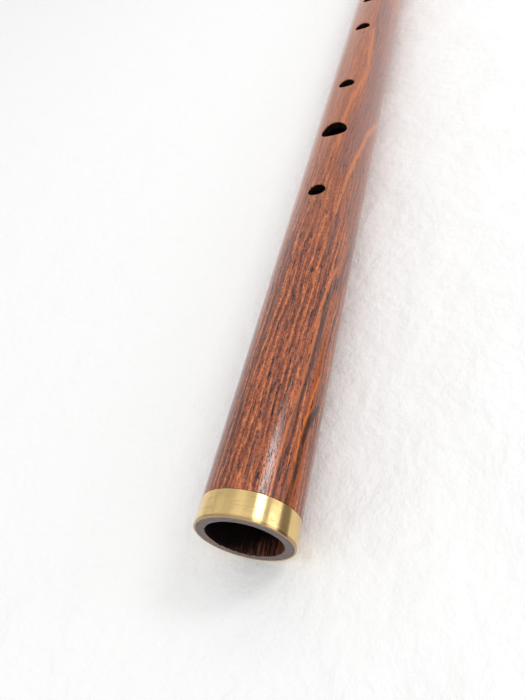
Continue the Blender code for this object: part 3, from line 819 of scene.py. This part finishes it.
def add_tube_end(skin, end, inward, ragged):
    """The ferrule's seat, the end face and the bore's edge, from the end towards the middle."""
    seat = FERRULE_LENGTH + GLUE_LINE
    seat_radius = TUBE_RADIUS - FERRULE_WALL - GLUE_LINE
    rounding = 0.3 * MM
    last_tear = 2.0 * MM
    profile = [
        (seat, TUBE_RADIUS, 0.0, 0.0, SIDE_ZONE),
        (seat, seat_radius, 0.0, 0.0, SIDE_ZONE),
        (0.0, seat_radius, 0.0, 0.0, END_ZONE),
        (0.0, 0.55 * seat_radius + 0.45 * BORE_RADIUS, 0.45, 0.0, END_ZONE),
        (0.0, BORE_RADIUS + 0.5 * rounding, 1.0, 1.0, END_ZONE),
        (0.5 * rounding, BORE_RADIUS + 0.15 * rounding, 1.0, 0.9, BORE_ZONE),
        (0.35 * last_tear, BORE_RADIUS, 1.0, 0.4, BORE_ZONE),
        (last_tear, BORE_RADIUS, 1.0, 0.0, BORE_ZONE),
        (seat, BORE_RADIUS, 1.0, 0.0, BORE_ZONE),
    ]
    rows = []
    for along, radius, share, tear, _ in profile:
        row = []
        for line in range(-HALF_LINES, HALF_LINES + 1):
            outer, inner = line_angle(line, OUTER_MARKS), line_angle(line, INNER_MARKS)
            angle = outer + (inner - outer) * share
            torn = tear * raggedness(angle) if ragged else 0.0
            row.append(on_tube(end + inward * along, angle, radius + torn))
        rows.append(row)
    for row, following, (_, _, _, _, zone) in zip(rows, rows[1:], profile[1:]):
        skin.strip(row, following, zone)


def on_low_wall(edge):
    """Whether an edge lies where the walls beside the slope start, too low there to be eased."""
    start = EDGE - EDGE_RAMP_LENGTH
    for vert in edge.verts:
        if not -WELD_DISTANCE < vert.co.x - start < LOW_WALL_LENGTH + WELD_DISTANCE:
            return False
        if abs(abs(vert.co.y) - FLUE_WIDTH / 2) > WELD_DISTANCE:
            return False
    return True


def make_tube():
    skin = Skin()
    stretches = tube_stretches()
    for kind, rings, open_lines in stretches:
        add_sides(skin, kind, rings, open_lines)
        if kind == "hole":
            add_flue_hole(skin, rings, sloping=rings[0] == EDGE)
    add_nest_walls(skin, stretches)
    for centre, diameter in zip(HOLE_PLACES, HOLE_DIAMETERS):
        add_finger_hole(skin, centre, diameter)
    add_tube_end(skin, FOOT, 1, ragged=True)
    add_tube_end(skin, TUBE_END, -1, ragged=False)

    bm = skin.bm
    bmesh.ops.remove_doubles(bm, verts=bm.verts, dist=WELD_DISTANCE)
    weights = bm.edges.layers.float.new("bevel_weight_edge")
    for edge in bm.edges:
        if edge.calc_face_angle(0.0) > EASED_ANGLE and not on_low_wall(edge):
            at_rim = {face.material_index for face in edge.link_faces} == {SIDE_ZONE, RIM_ZONE}
            edge[weights] = 1.0 if at_rim else EDGE_EASING / HOLE_EASING
    for face in bm.faces:
        if face.material_index == RIM_ZONE:
            face.material_index = SIDE_ZONE
    looks = [tube_wood(), end_grain(), bore_wood(), hole_wood()]
    mesh = finish_mesh(bm, "wooden_tube", looks)
    ease_edges(add_piece("wooden_tube", mesh, "flute", "body_tube"), HOLE_EASING, "WEIGHT")


# Turned pieces

TURNED_SIDES = 192


def make_ferrules():
    inside = TUBE_RADIUS - FERRULE_WALL
    soft_edge = 0.08 * MM
    for name, node, end, inward in (
        ("foot_ring", "foot_ferrule", FOOT, 1),
        ("mouth_ring", "mouth_ferrule", TUBE_END, -1),
    ):
        corners = [
            (0.0, inside, soft_edge),
            (0.0, TUBE_RADIUS, FERRULE_RIM),
            (FERRULE_LENGTH, TUBE_RADIUS, soft_edge),
            (FERRULE_LENGTH, inside, 0.0),
        ]
        outline = [(inward * along, radius) for along, radius in eased(corners)]
        look = brass("brass_" + name, end)
        mesh = finish_mesh(turned(outline, end), name, [look], sharp_angle=50)
        add_piece(name, mesh, "flute", node)


def make_mouthpiece():
    """The mouthpiece's outline, from the spigot in the bore over a notched collar to the tip."""
    length = 46.0 * MM
    spigot = 14.0 * MM
    spigot_radius = BORE_RADIUS - 0.02 * MM
    spigot_bore = 6.2 * MM
    breath = 3.2 * MM
    tip_radius = 7.1 * MM
    collar = 6.0 * MM
    taper_end = length - 2.8 * MM
    notch = 0.35 * MM
    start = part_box("mouthpiece")[1].x - length
    shoulder = TUBE_END + 0.03 * MM - start
    corners = [
        (-spigot, spigot_bore, 0.3 * MM),
        (-spigot, spigot_radius, 0.5 * MM),
        (shoulder, spigot_radius, 0.0),
        (shoulder, TUBE_RADIUS, 0.25 * MM),
        (collar - 1.5 * notch, TUBE_RADIUS, 0.1 * MM),
        (collar - 0.5 * notch, TUBE_RADIUS - notch, 0.15 * MM),
        (collar + 0.5 * notch, TUBE_RADIUS - 0.02 * MM, 0.1 * MM),
    ]
    steps = 40
    for step in range(2, steps):
        share = step / steps
        radius = TUBE_RADIUS + (tip_radius - TUBE_RADIUS) * (1 - cos(pi * share)) / 2
        corners.append((collar + (taper_end - collar) * share, radius, 0.0))
    corners += [
        (length, tip_radius, 2.6 * MM),
        (length, breath, 0.7 * MM),
        (6.0 * MM - spigot, breath, 0.8 * MM),
    ]
    look = plain_wood("rosewood_mouthpiece", DARK_BROWN, 0.45, (start, 0.0, AXIS), 50.0)
    mesh = finish_mesh(turned(eased(corners), start), "breath_end", [look], sharp_angle=50)
    add_piece("breath_end", mesh, "flute", "mouthpiece")


def make_flue_plate():
    """The CAD's fork, with its triangles joined to flat faces and its edges eased."""
    bm = bmesh.new()
    bm.from_mesh(frame["nodes"]["flue_plate"].data)
    bmesh.ops.remove_doubles(bm, verts=bm.verts, dist=WELD_DISTANCE)
    bmesh.ops.dissolve_limit(bm, angle_limit=radians(1), verts=bm.verts, edges=bm.edges)
    mesh = finish_mesh(bm, "flue_fork", [brass("brass_plate", EDGE)], sharp_angle=30)
    ease_edges(add_piece("flue_fork", mesh, "flute", "flue_plate"), PLATE_EASING, "ANGLE")


# Block

BLOCK_STEP = 0.2 * MM
CAP_INSET = 0.09
BLOCK_GRAIN_CENTRE = (BLOCK_FRONT, 20 * MM, BLOCK_BASE)

# Carving, with places counted from the block's front. Grooves are (width, depth).
UNCARVED_HEIGHT = 0.3 * MM
EYES_FROM = 2.0 * MM
EYE_PLACE = 4.3 * MM
EYE_HEIGHT = 14.2 * MM
EYE_RADIUS = 1.6 * MM
EYE_GROOVE = (0.9 * MM, 0.36 * MM)
PUPIL = (1.5 * MM, 0.5 * MM)
FINE_GROOVE = (0.8 * MM, 0.3 * MM)
BEAK_LINE_START = -5.6 * MM
BEAK_LINE_END = 2.4 * MM
BEAK_LINE_DROP = 0.5 * MM
BEAK_LINE_SLOPE = 0.06
COLLAR_PLACE = 12.2 * MM
COLLAR_SLOPE = 0.22
COLLAR_GROOVE = (0.9 * MM, 0.35 * MM)
FEATHER_START = HEAD_LENGTH + SADDLE_LENGTH + 3.2 * MM
FEATHER_SLOPE = 0.09
FEATHER_HEIGHTS = [2.4 * MM, 4.7 * MM, 7.0 * MM, 9.3 * MM]
FEATHER_SIDES = [-4.4 * MM, -2.2 * MM, 0.0, 2.2 * MM, 4.4 * MM]
SIDE_FEATHERS_UP_TO = TAIL_HEIGHT - 1.6 * MM


def block_stations():
    """Sections from the beak's tip to the tail's end.

    Each is (distance from the block's front, lowest and highest point, half the width of its base,
    how far its sides swell, half the width under its shoulders, its shoulders' radius).
    """
    base = BLOCK_BASE_WIDTH / 2
    head = HEAD_WIDTH / 2
    tail = TAIL_WIDTH / 2
    tip = BEAK_TIP / 2
    root = BEAK_ROOT / 2
    saddle_end = HEAD_LENGTH + SADDLE_LENGTH
    forehead = (BEAK_HEIGHT + root + HEAD_HEIGHT) / 2
    return [
        (-BEAK_LENGTH, BEAK_HEIGHT - tip, BEAK_HEIGHT + tip, tip, 0.0, tip, 0.9 * tip),
        (-0.5 * BEAK_LENGTH, BEAK_HEIGHT - 0.5 * root, BEAK_HEIGHT + 0.7 * root,
         0.4 * root, 0.1 * root, 0.45 * root, 0.4 * root),
        (-0.12 * BEAK_LENGTH, BEAK_HEIGHT - root, BEAK_HEIGHT + root,
         0.8 * root, 0.2 * root, root, 0.9 * root),
        (0.0, 0.0, forehead, base, 0.2 * BREAST_SWELL, 0.8 * head, 0.75 * head),
        (0.18 * HEAD_LENGTH, 0.0, 0.97 * HEAD_HEIGHT, base, 0.8 * BREAST_SWELL, 0.95 * head, 0.85 * head),
        (0.38 * HEAD_LENGTH, 0.0, HEAD_HEIGHT, base, BREAST_SWELL, head, 0.9 * head),
        (0.7 * HEAD_LENGTH, 0.0, 0.74 * HEAD_HEIGHT, base, 0.6 * BREAST_SWELL, 1.05 * head, 0.75 * head),
        (HEAD_LENGTH, 0.0, SADDLE_HEIGHT, base, 0.0, base, SADDLE_SHOULDER),
        (saddle_end, 0.0, SADDLE_HEIGHT, base, 0.0, base, SADDLE_SHOULDER),
        (saddle_end + 0.35 * TAIL_LENGTH, 0.0, 0.88 * TAIL_HEIGHT, base, 0.0, 0.97 * tail, SADDLE_SHOULDER),
        (saddle_end + 0.75 * TAIL_LENGTH, 0.0, TAIL_HEIGHT, base, 0.0, tail, 1.2 * SADDLE_SHOULDER),
        (saddle_end + 0.96 * TAIL_LENGTH, 0.0, 0.96 * TAIL_HEIGHT,
         base, 0.0, 0.93 * tail, 1.2 * SADDLE_SHOULDER),
        (saddle_end + TAIL_LENGTH, 0.0, 0.9 * TAIL_HEIGHT, 0.95 * base, 0.0, 0.85 * tail, SADDLE_SHOULDER),
    ]


def gentle_slopes(places, values):
    """The slope at each place, which is level at a peak, at a dip and beside a level stretch."""
    rates = [(b - a) / (q - p) for p, q, a, b in zip(places, places[1:], values, values[1:])]
    slopes = [rates[0]]
    for before, after in zip(rates, rates[1:]):
        slopes.append(2 * before * after / (before + after) if before * after > 0.0 else 0.0)
    return [*slopes, rates[-1]]


def blended(places, values):
    """The values every BLOCK_STEP or less, on a smooth curve that never passes a given value."""
    slopes = gentle_slopes(places, values)
    result = [values[0]]
    for index in range(len(places) - 1):
        length = places[index + 1] - places[index]
        steps = ceil(length / BLOCK_STEP)
        for step in range(1, steps + 1):
            share = step / steps
            back = 1 - share
            value = values[index] * back * back * (1 + 2 * share)
            value += values[index + 1] * share * share * (1 + 2 * back)
            value += length * share * back * (slopes[index] * back - slopes[index + 1] * share)
            result.append(value)
    return result


def block_section(low, high, base, swell, crown, shoulder):
    """A section's corners as (across, up), from the right end of its base over the top to the left one."""
    side_steps = 64
    shoulder_steps = 16
    top_steps = 24
    right = []
    for step in range(side_steps + 1):
        share = step / side_steps
        width = base + (crown - base) * share + 4 * swell * share * (1 - share)
        right.append((width, low + (high - low - shoulder) * share))
    for step in range(1, shoulder_steps + 1):
        turn = pi / 2 * step / shoulder_steps
        right.append((crown - shoulder * (1 - cos(turn)), high - shoulder * (1 - sin(turn))))
    flat = right[-1][0]
    top = [(flat * (1 - 2 * step / top_steps), high) for step in range(1, top_steps)]
    left = [(-across, up) for across, up in reversed(right)]
    return right + top + left


def groove(distance, width, depth):
    """How deep a rounded groove is at a distance from its middle."""
    share = abs(distance) / (width / 2)
    return depth * (1 - share * share) ** 2 if share < 1 else 0.0


def held(share):
    return min(1.0, max(0.0, share))


def carving(place, across, up):
    """How deep the block is carved there: eyes, the line of the beak, a collar and feathers."""
    deep = 0.0
    if abs(across) > EYES_FROM:
        from_eye = hypot(place - EYE_PLACE, up - EYE_HEIGHT)
        deep += groove(from_eye - EYE_RADIUS, *EYE_GROOVE)
        deep += groove(from_eye, *PUPIL)
    if place < BEAK_LINE_END:
        line = BEAK_HEIGHT - BEAK_LINE_DROP + BEAK_LINE_SLOPE * (place + BEAK_LENGTH)
        deep += groove(up - line, *FINE_GROOVE) * held((place - BEAK_LINE_START) / (1 * MM))
    collar = place - COLLAR_PLACE + COLLAR_SLOPE * up
    deep += groove(collar, *COLLAR_GROOVE) * held(up / (3 * MM))
    fade = held((place - FEATHER_START) / (2.5 * MM))
    if up < SIDE_FEATHERS_UP_TO:
        for height in FEATHER_HEIGHTS:
            line = height + FEATHER_SLOPE * (place - FEATHER_START)
            deep += fade * groove(up - line, *FINE_GROOVE)
    else:
        for side in FEATHER_SIDES:
            deep += fade * groove(across - side, *FINE_GROOVE)
    return deep


def make_block():
    columns = list(zip(*block_stations()))
    stations = zip(*(blended(columns[0], column) for column in columns))
    bm = bmesh.new()
    carved = bm.verts.layers.float.new("carved")
    rings = []
    for place, *section in stations:
        rings.append([bm.verts.new((place, across, up)) for across, up in block_section(*section)])
    for ring, following in zip(rings, rings[1:]):
        bridge(bm, ring, following)
    caps = []
    for ring in (rings[0], rings[-1]):
        centre = sum((vert.co for vert in ring), Vector()) / len(ring)
        cap = [bm.verts.new(vert.co.lerp(centre, CAP_INSET)) for vert in ring]
        bridge(bm, ring, cap)
        bm.faces.new(cap)
        caps += cap
    bmesh.ops.recalc_face_normals(bm, faces=bm.faces)
    bm.normal_update()
    moves = []
    for vert in set(bm.verts).difference(caps):
        depth = carving(*vert.co) if vert.co.z > UNCARVED_HEIGHT else 0.0
        inward = -vert.normal
        if vert.co.x > HEAD_LENGTH:
            inward.x = 0.0
            inward.normalize()
        vert[carved] = depth / MM
        moves.append((vert, depth * inward))
    for vert, move in moves:
        vert.co += move
    bmesh.ops.translate(bm, verts=bm.verts, vec=(BLOCK_FRONT, 0.0, BLOCK_BASE))
    look = plain_wood("rosewood_block", RED_BROWN, 0.25, BLOCK_GRAIN_CENTRE, 80.0, carved=True)
    mesh = finish_mesh(bm, "bird_block", [look], sharp_angle=60)
    add_piece("bird_block", mesh, "tied_block", "block")


# Lace

LACE_RADIUS = LACE_DIAMETER / 2
LACE_WINDING_RADIUS = TUBE_RADIUS + LACE_GRIP_GAP + LACE_RADIUS


def tuck_angle():
    """The angle over +Y at which a tucked end lies on the tube, right beside the block's lower corner."""
    corner_y = BLOCK_BASE_WIDTH / 2
    corner_z = BLOCK_BASE - AXIS
    corner_distance = hypot(corner_y, corner_z)
    clear = LACE_RADIUS + LACE_GRIP_GAP
    cosine = LACE_WINDING_RADIUS**2 + corner_distance**2 - clear**2
    cosine /= 2 * LACE_WINDING_RADIUS * corner_distance
    return atan2(corner_z, corner_y) - acos(min(1.0, cosine))


def turn_circles():
    """What the middle of a tight turn runs round, as (y, z, radius): tube, saddle and both tucked ends."""
    clear = LACE_RADIUS + LACE_GRIP_GAP
    shoulder_y = BLOCK_BASE_WIDTH / 2 - SADDLE_SHOULDER
    shoulder_z = BLOCK_BASE - AXIS + SADDLE_HEIGHT - SADDLE_SHOULDER
    tuck_y = LACE_WINDING_RADIUS * cos(tuck_angle())
    tuck_z = LACE_WINDING_RADIUS * sin(tuck_angle())
    circles = [(0.0, 0.0, LACE_WINDING_RADIUS)]
    for side in (1, -1):
        circles.append((side * shoulder_y, shoulder_z, SADDLE_SHOULDER + clear))
        circles.append((side * tuck_y, tuck_z, LACE_DIAMETER + LACE_GRIP_GAP))
    return circles


def lace_half():
    """The lace from its first free end to the middle of its winding, as (point, outward direction) pairs.

    X is counted from the middle of the saddle. The end lies along the tube under the turns, bends down
    round the tube, and winds on towards the mouth end.
    """
    tuck = tuck_angle()
    bend = LACE_TUCK_RADIUS / LACE_WINDING_RADIUS
    start_angle = tuck - bend
    half_winding = start_angle + pi / 2 + pi * LACE_TURNS
    first_x = -LACE_PITCH * half_winding / (2 * pi) - LACE_LEAD
    straight_steps = 24
    bend_steps = 16
    path = []

    def add(x, angle, circle=(0.0, 0.0, LACE_WINDING_RADIUS)):
        outward = Vector((0.0, cos(angle), sin(angle)))
        path.append((Vector((x, circle[0], circle[1])) + circle[2] * outward, outward))

    free_x = LACE_FREE_END - first_x
    bend_x = first_x + LACE_TUCK_RADIUS
    for step in range(straight_steps):
        add(free_x + (bend_x - free_x) * step / straight_steps, tuck)
    for step in range(bend_steps + 1):
        turn = pi / 2 * step / bend_steps
        add(first_x + LACE_TUCK_RADIUS * (1 - sin(turn)), tuck - bend * (1 - cos(turn)))

    circles = turn_circles()
    point_angle = 2 * pi / LACE_POINTS_PER_TURN
    for step in reversed(range(int(half_winding / point_angle))):
        wound = half_winding - (step + 0.5) * point_angle
        angle = start_angle - wound
        lead = LACE_LEAD * max(0.0, cos(min(wound, pi / 2)))
        x = LACE_PITCH * (wound - half_winding) / (2 * pi) - lead
        reach = [y * cos(angle) + z * sin(angle) + radius for y, z, radius in circles]
        circle = circles[0] if angle > -pi / 2 else circles[reach.index(max(reach))]
        add(x, angle, circle)
    return path


def make_lace():
    first = lace_half()
    turn = Matrix.Rotation(pi, 3, "Z")
    path = first + [(turn @ point, turn @ outward) for point, outward in reversed(first)]
    middle = Vector((SADDLE_MIDDLE, 0.0, AXIS))
    bm = bmesh.new()
    rings = []
    for index, (point, outward) in enumerate(path):
        before = path[max(index - 1, 0)][0]
        after = path[min(index + 1, len(path) - 1)][0]
        forward = (after - before).normalized()
        side = forward.cross(outward).normalized()
        up = side.cross(forward)
        ring = []
        for corner in range(LACE_SIDES):
            around = 2 * pi * corner / LACE_SIDES
            out = cos(around) * up + sin(around) * side
            uneven = LACE_UNEVENNESS * noise.noise(LACE_LUMPS_PER_METRE * point + 1.5 * out)
            spot = middle + point + LACE_RADIUS * (1 + uneven) * out
            spot.z = max(spot.z, 0.0)
            ring.append(bm.verts.new(spot))
        rings.append(ring)
    for ring, following in zip(rings, rings[1:]):
        bridge(bm, ring, following)
    for ring in (rings[0], rings[-1]):
        bm.faces.new(ring)
    mesh = finish_mesh(bm, "leather_lace", [leather()], sharp_angle=60)
    add_piece("leather_lace", mesh, "tied_block", "lace")


# Floor, lights and camera

FLOOR_HALF_SIZE = 3.0
FLOOR_LIT = (0.80, 0.80, 0.80)
FLOOR_SEEN = (0.960, 0.963, 0.960)
BACKGROUND_LEVEL = 0.95

# Lamps: azimuth and elevation from the foot in degrees, distance, length, width, radiance, and the softness
# of the length and the width
LAMPS = {
    "window": (-54, 42.5, 1.2, 0.34, 0.46, 10.0, (0.7, 0.5)),
    "side_glow": (-74, 13.0, 1.2, 0.42, 0.56, 2.5, (0.7, 0.15)),
}

# Dark card: corners as (from the foot along the flute, across), height over the floor plane and colour
CARD_CORNERS = ((-0.03, -0.037), (0.09, -0.037), (0.20, -0.40), (-0.03, -0.40))
CARD_HEIGHT = 3 * MM
CARD_COLOR = (0.25, 0.23, 0.22)


def make_floor():
    """A pale floor that touches the lace and the foot ring, so it slopes up a little towards the foot."""
    look = Look("pale_floor")
    pile = look.noise((4, 4, 4), 4.0, 0.65)
    tufts = look.noise((30, 30, 30), 3.0)
    rays = [look.node("LightPath", {}, ray) for ray in ("Is Camera Ray", "Is Glossy Ray")]
    shade = look.mix(look.math("MAXIMUM", *rays), FLOOR_LIT, FLOOR_SEEN)
    normal = look.bump(tufts * 4.0 + pile, 0.7, 1 * MM)
    look.shade(base_color=shade, roughness=1.0, specular_ior_level=0.0, normal=normal)
    bm = bmesh.new()
    bmesh.ops.create_grid(bm, x_segments=1, y_segments=1, size=FLOOR_HALF_SIZE)
    floor = add_object("floor", finish_mesh(bm, "floor", [look.material]))
    slope = (AXIS - TUBE_RADIUS) / (SADDLE_MIDDLE - FOOT)
    floor.rotation_euler = (0.0, atan2(slope, 1.0), 0.0)
    floor.location = (SADDLE_MIDDLE, 0.0, 0.0)


def soft_light(name, azimuth, elevation, distance, length, width, radiance, softness):
    """A lamp that faces the foot, seen from there in that direction. Its length runs along the tube.

    Its radiance falls off smoothly over the outer shares of its length and width that softness says.
    """
    turn, rise = radians(azimuth), radians(elevation)
    towards = Vector((cos(rise) * cos(turn), cos(rise) * sin(turn), sin(rise)))
    lengthways = (Vector((1.0, 0.0, 0.0)) - towards.x * towards).normalized()
    crossways = towards.cross(lengthways)
    lamp = bpy.data.lights.new(name, "AREA")
    lamp.shape = "RECTANGLE"
    lamp.size = length
    lamp.size_y = width
    lamp.energy = radiance * pi * length * width
    lamp.use_nodes = True
    nodes = Nodes(lamp.node_tree)
    spot = nodes.parts(nodes.node("NewGeometry", {}, "Parametric"))
    fades = []
    for value, share in zip(spot, softness):
        fades.append(nodes.remap(nodes.math("PINGPONG", value, 0.5), 0.0, share / 2))
    nodes.put(nodes.tree.nodes["Emission"].inputs["Strength"], fades[0] * fades[1])
    holder = add_object(name, lamp)
    facing = Matrix((lengthways, crossways, towards)).transposed().to_4x4()
    holder.matrix_world = Matrix.Translation(Vector(FOOT_CENTRE) + distance * towards) @ facing
    holder.visible_camera = False


def make_dark_card():
    """A dark card on the floor beside the foot, out of the camera's sight, which only reflections show."""
    look = Look("dark_card")
    look.shade(base_color=CARD_COLOR, roughness=1.0, specular_ior_level=0.0)
    skin = Skin()
    skin.face([(FOOT + along, across, CARD_HEIGHT) for along, across in CARD_CORNERS])
    card = add_object("dark_card", finish_mesh(skin.bm, "dark_card", [look.material]))
    card.visible_camera = False
    card.visible_diffuse = False
    card.visible_shadow = False


def make_world():
    """A pale room, brightest overhead, and less bright in the directions that the tube reflects.

    Its level depends on the direction (x, y, z), of which each line below takes one part.
    """
    world = bpy.data.worlds.new("studio")
    world.use_nodes = True
    nodes = Nodes(world.node_tree)
    direction = nodes.node("TexCoord", {}, "Generated")
    x, y, z = nodes.parts(direction)
    clouds = nodes.noise((1 / 3, 1 / 3, 1 / 3), place=direction)
    level = nodes.remap(x, 0.45, 0.85, 0.65, 0.86) + nodes.remap(x, 0.38, 0.1, 0.0, 0.07)
    level = level + nodes.remap(z, 0.76, 0.94, 0.0, 0.2)
    level = level * nodes.remap(clouds, 0.35, 0.65, 0.80, 1.18)
    level = level * nodes.remap(y, 0.0, 0.8, 1.0, 1.2)
    overhead = nodes.remap(x, 0.38, 0.1) * nodes.remap(z, 0.2, 0.9, 0.0, 0.25)
    overhead = overhead * nodes.remap(y, 0.6, -0.6, 0.5, 1.6)
    seen = nodes.node("LightPath", {}, "Is Camera Ray")
    strength = nodes.node("Mix", {"Factor": seen, "A": level + overhead, "B": BACKGROUND_LEVEL})
    background = nodes.tree.nodes["Background"]
    nodes.put(background.inputs["Color"], (1.0, 1.0, 1.0))
    nodes.put(background.inputs["Strength"], strength)
    bpy.context.scene.world = world


def make_camera():
    """The camera that the photograph was taken with, placed by the tube's fitted place in its view."""
    across = HOLE_DIRECTION.cross(TUBE_DIRECTION).normalized()
    along = TUBE_DIRECTION.normalized()
    up = along.cross(across)
    to_frame = Matrix((along, across, up))
    flip = Matrix.Diagonal((1.0, -1.0, -1.0))
    place = Vector(FOOT_CENTRE) - TUBE_RADIUS * (to_frame @ FOOT_FROM_CAMERA)
    camera = bpy.data.cameras.new("camera")
    camera.sensor_fit = "AUTO"
    camera.sensor_width = SENSOR
    camera.lens = FOCAL_LENGTH_PIXELS * SENSOR / PHOTO_HEIGHT
    camera.clip_start = 0.01
    holder = add_object("camera", camera)
    holder.matrix_world = Matrix.Translation(place) @ (to_frame @ flip).to_4x4()
    bpy.context.scene.camera = holder


def main():
    make_camera()
    for name, settings in LAMPS.items():
        soft_light(name, *settings)
    make_dark_card()
    make_world()
    make_floor()
    make_tube()
    make_ferrules()
    make_mouthpiece()
    make_flue_plate()
    make_block()
    make_lace()
    plug = frame["nodes"]["chamber_plug"]
    plug.data.materials.clear()
    plug.data.materials.append(maple())
    bpy.context.scene.view_settings.view_transform = "Standard"


main()
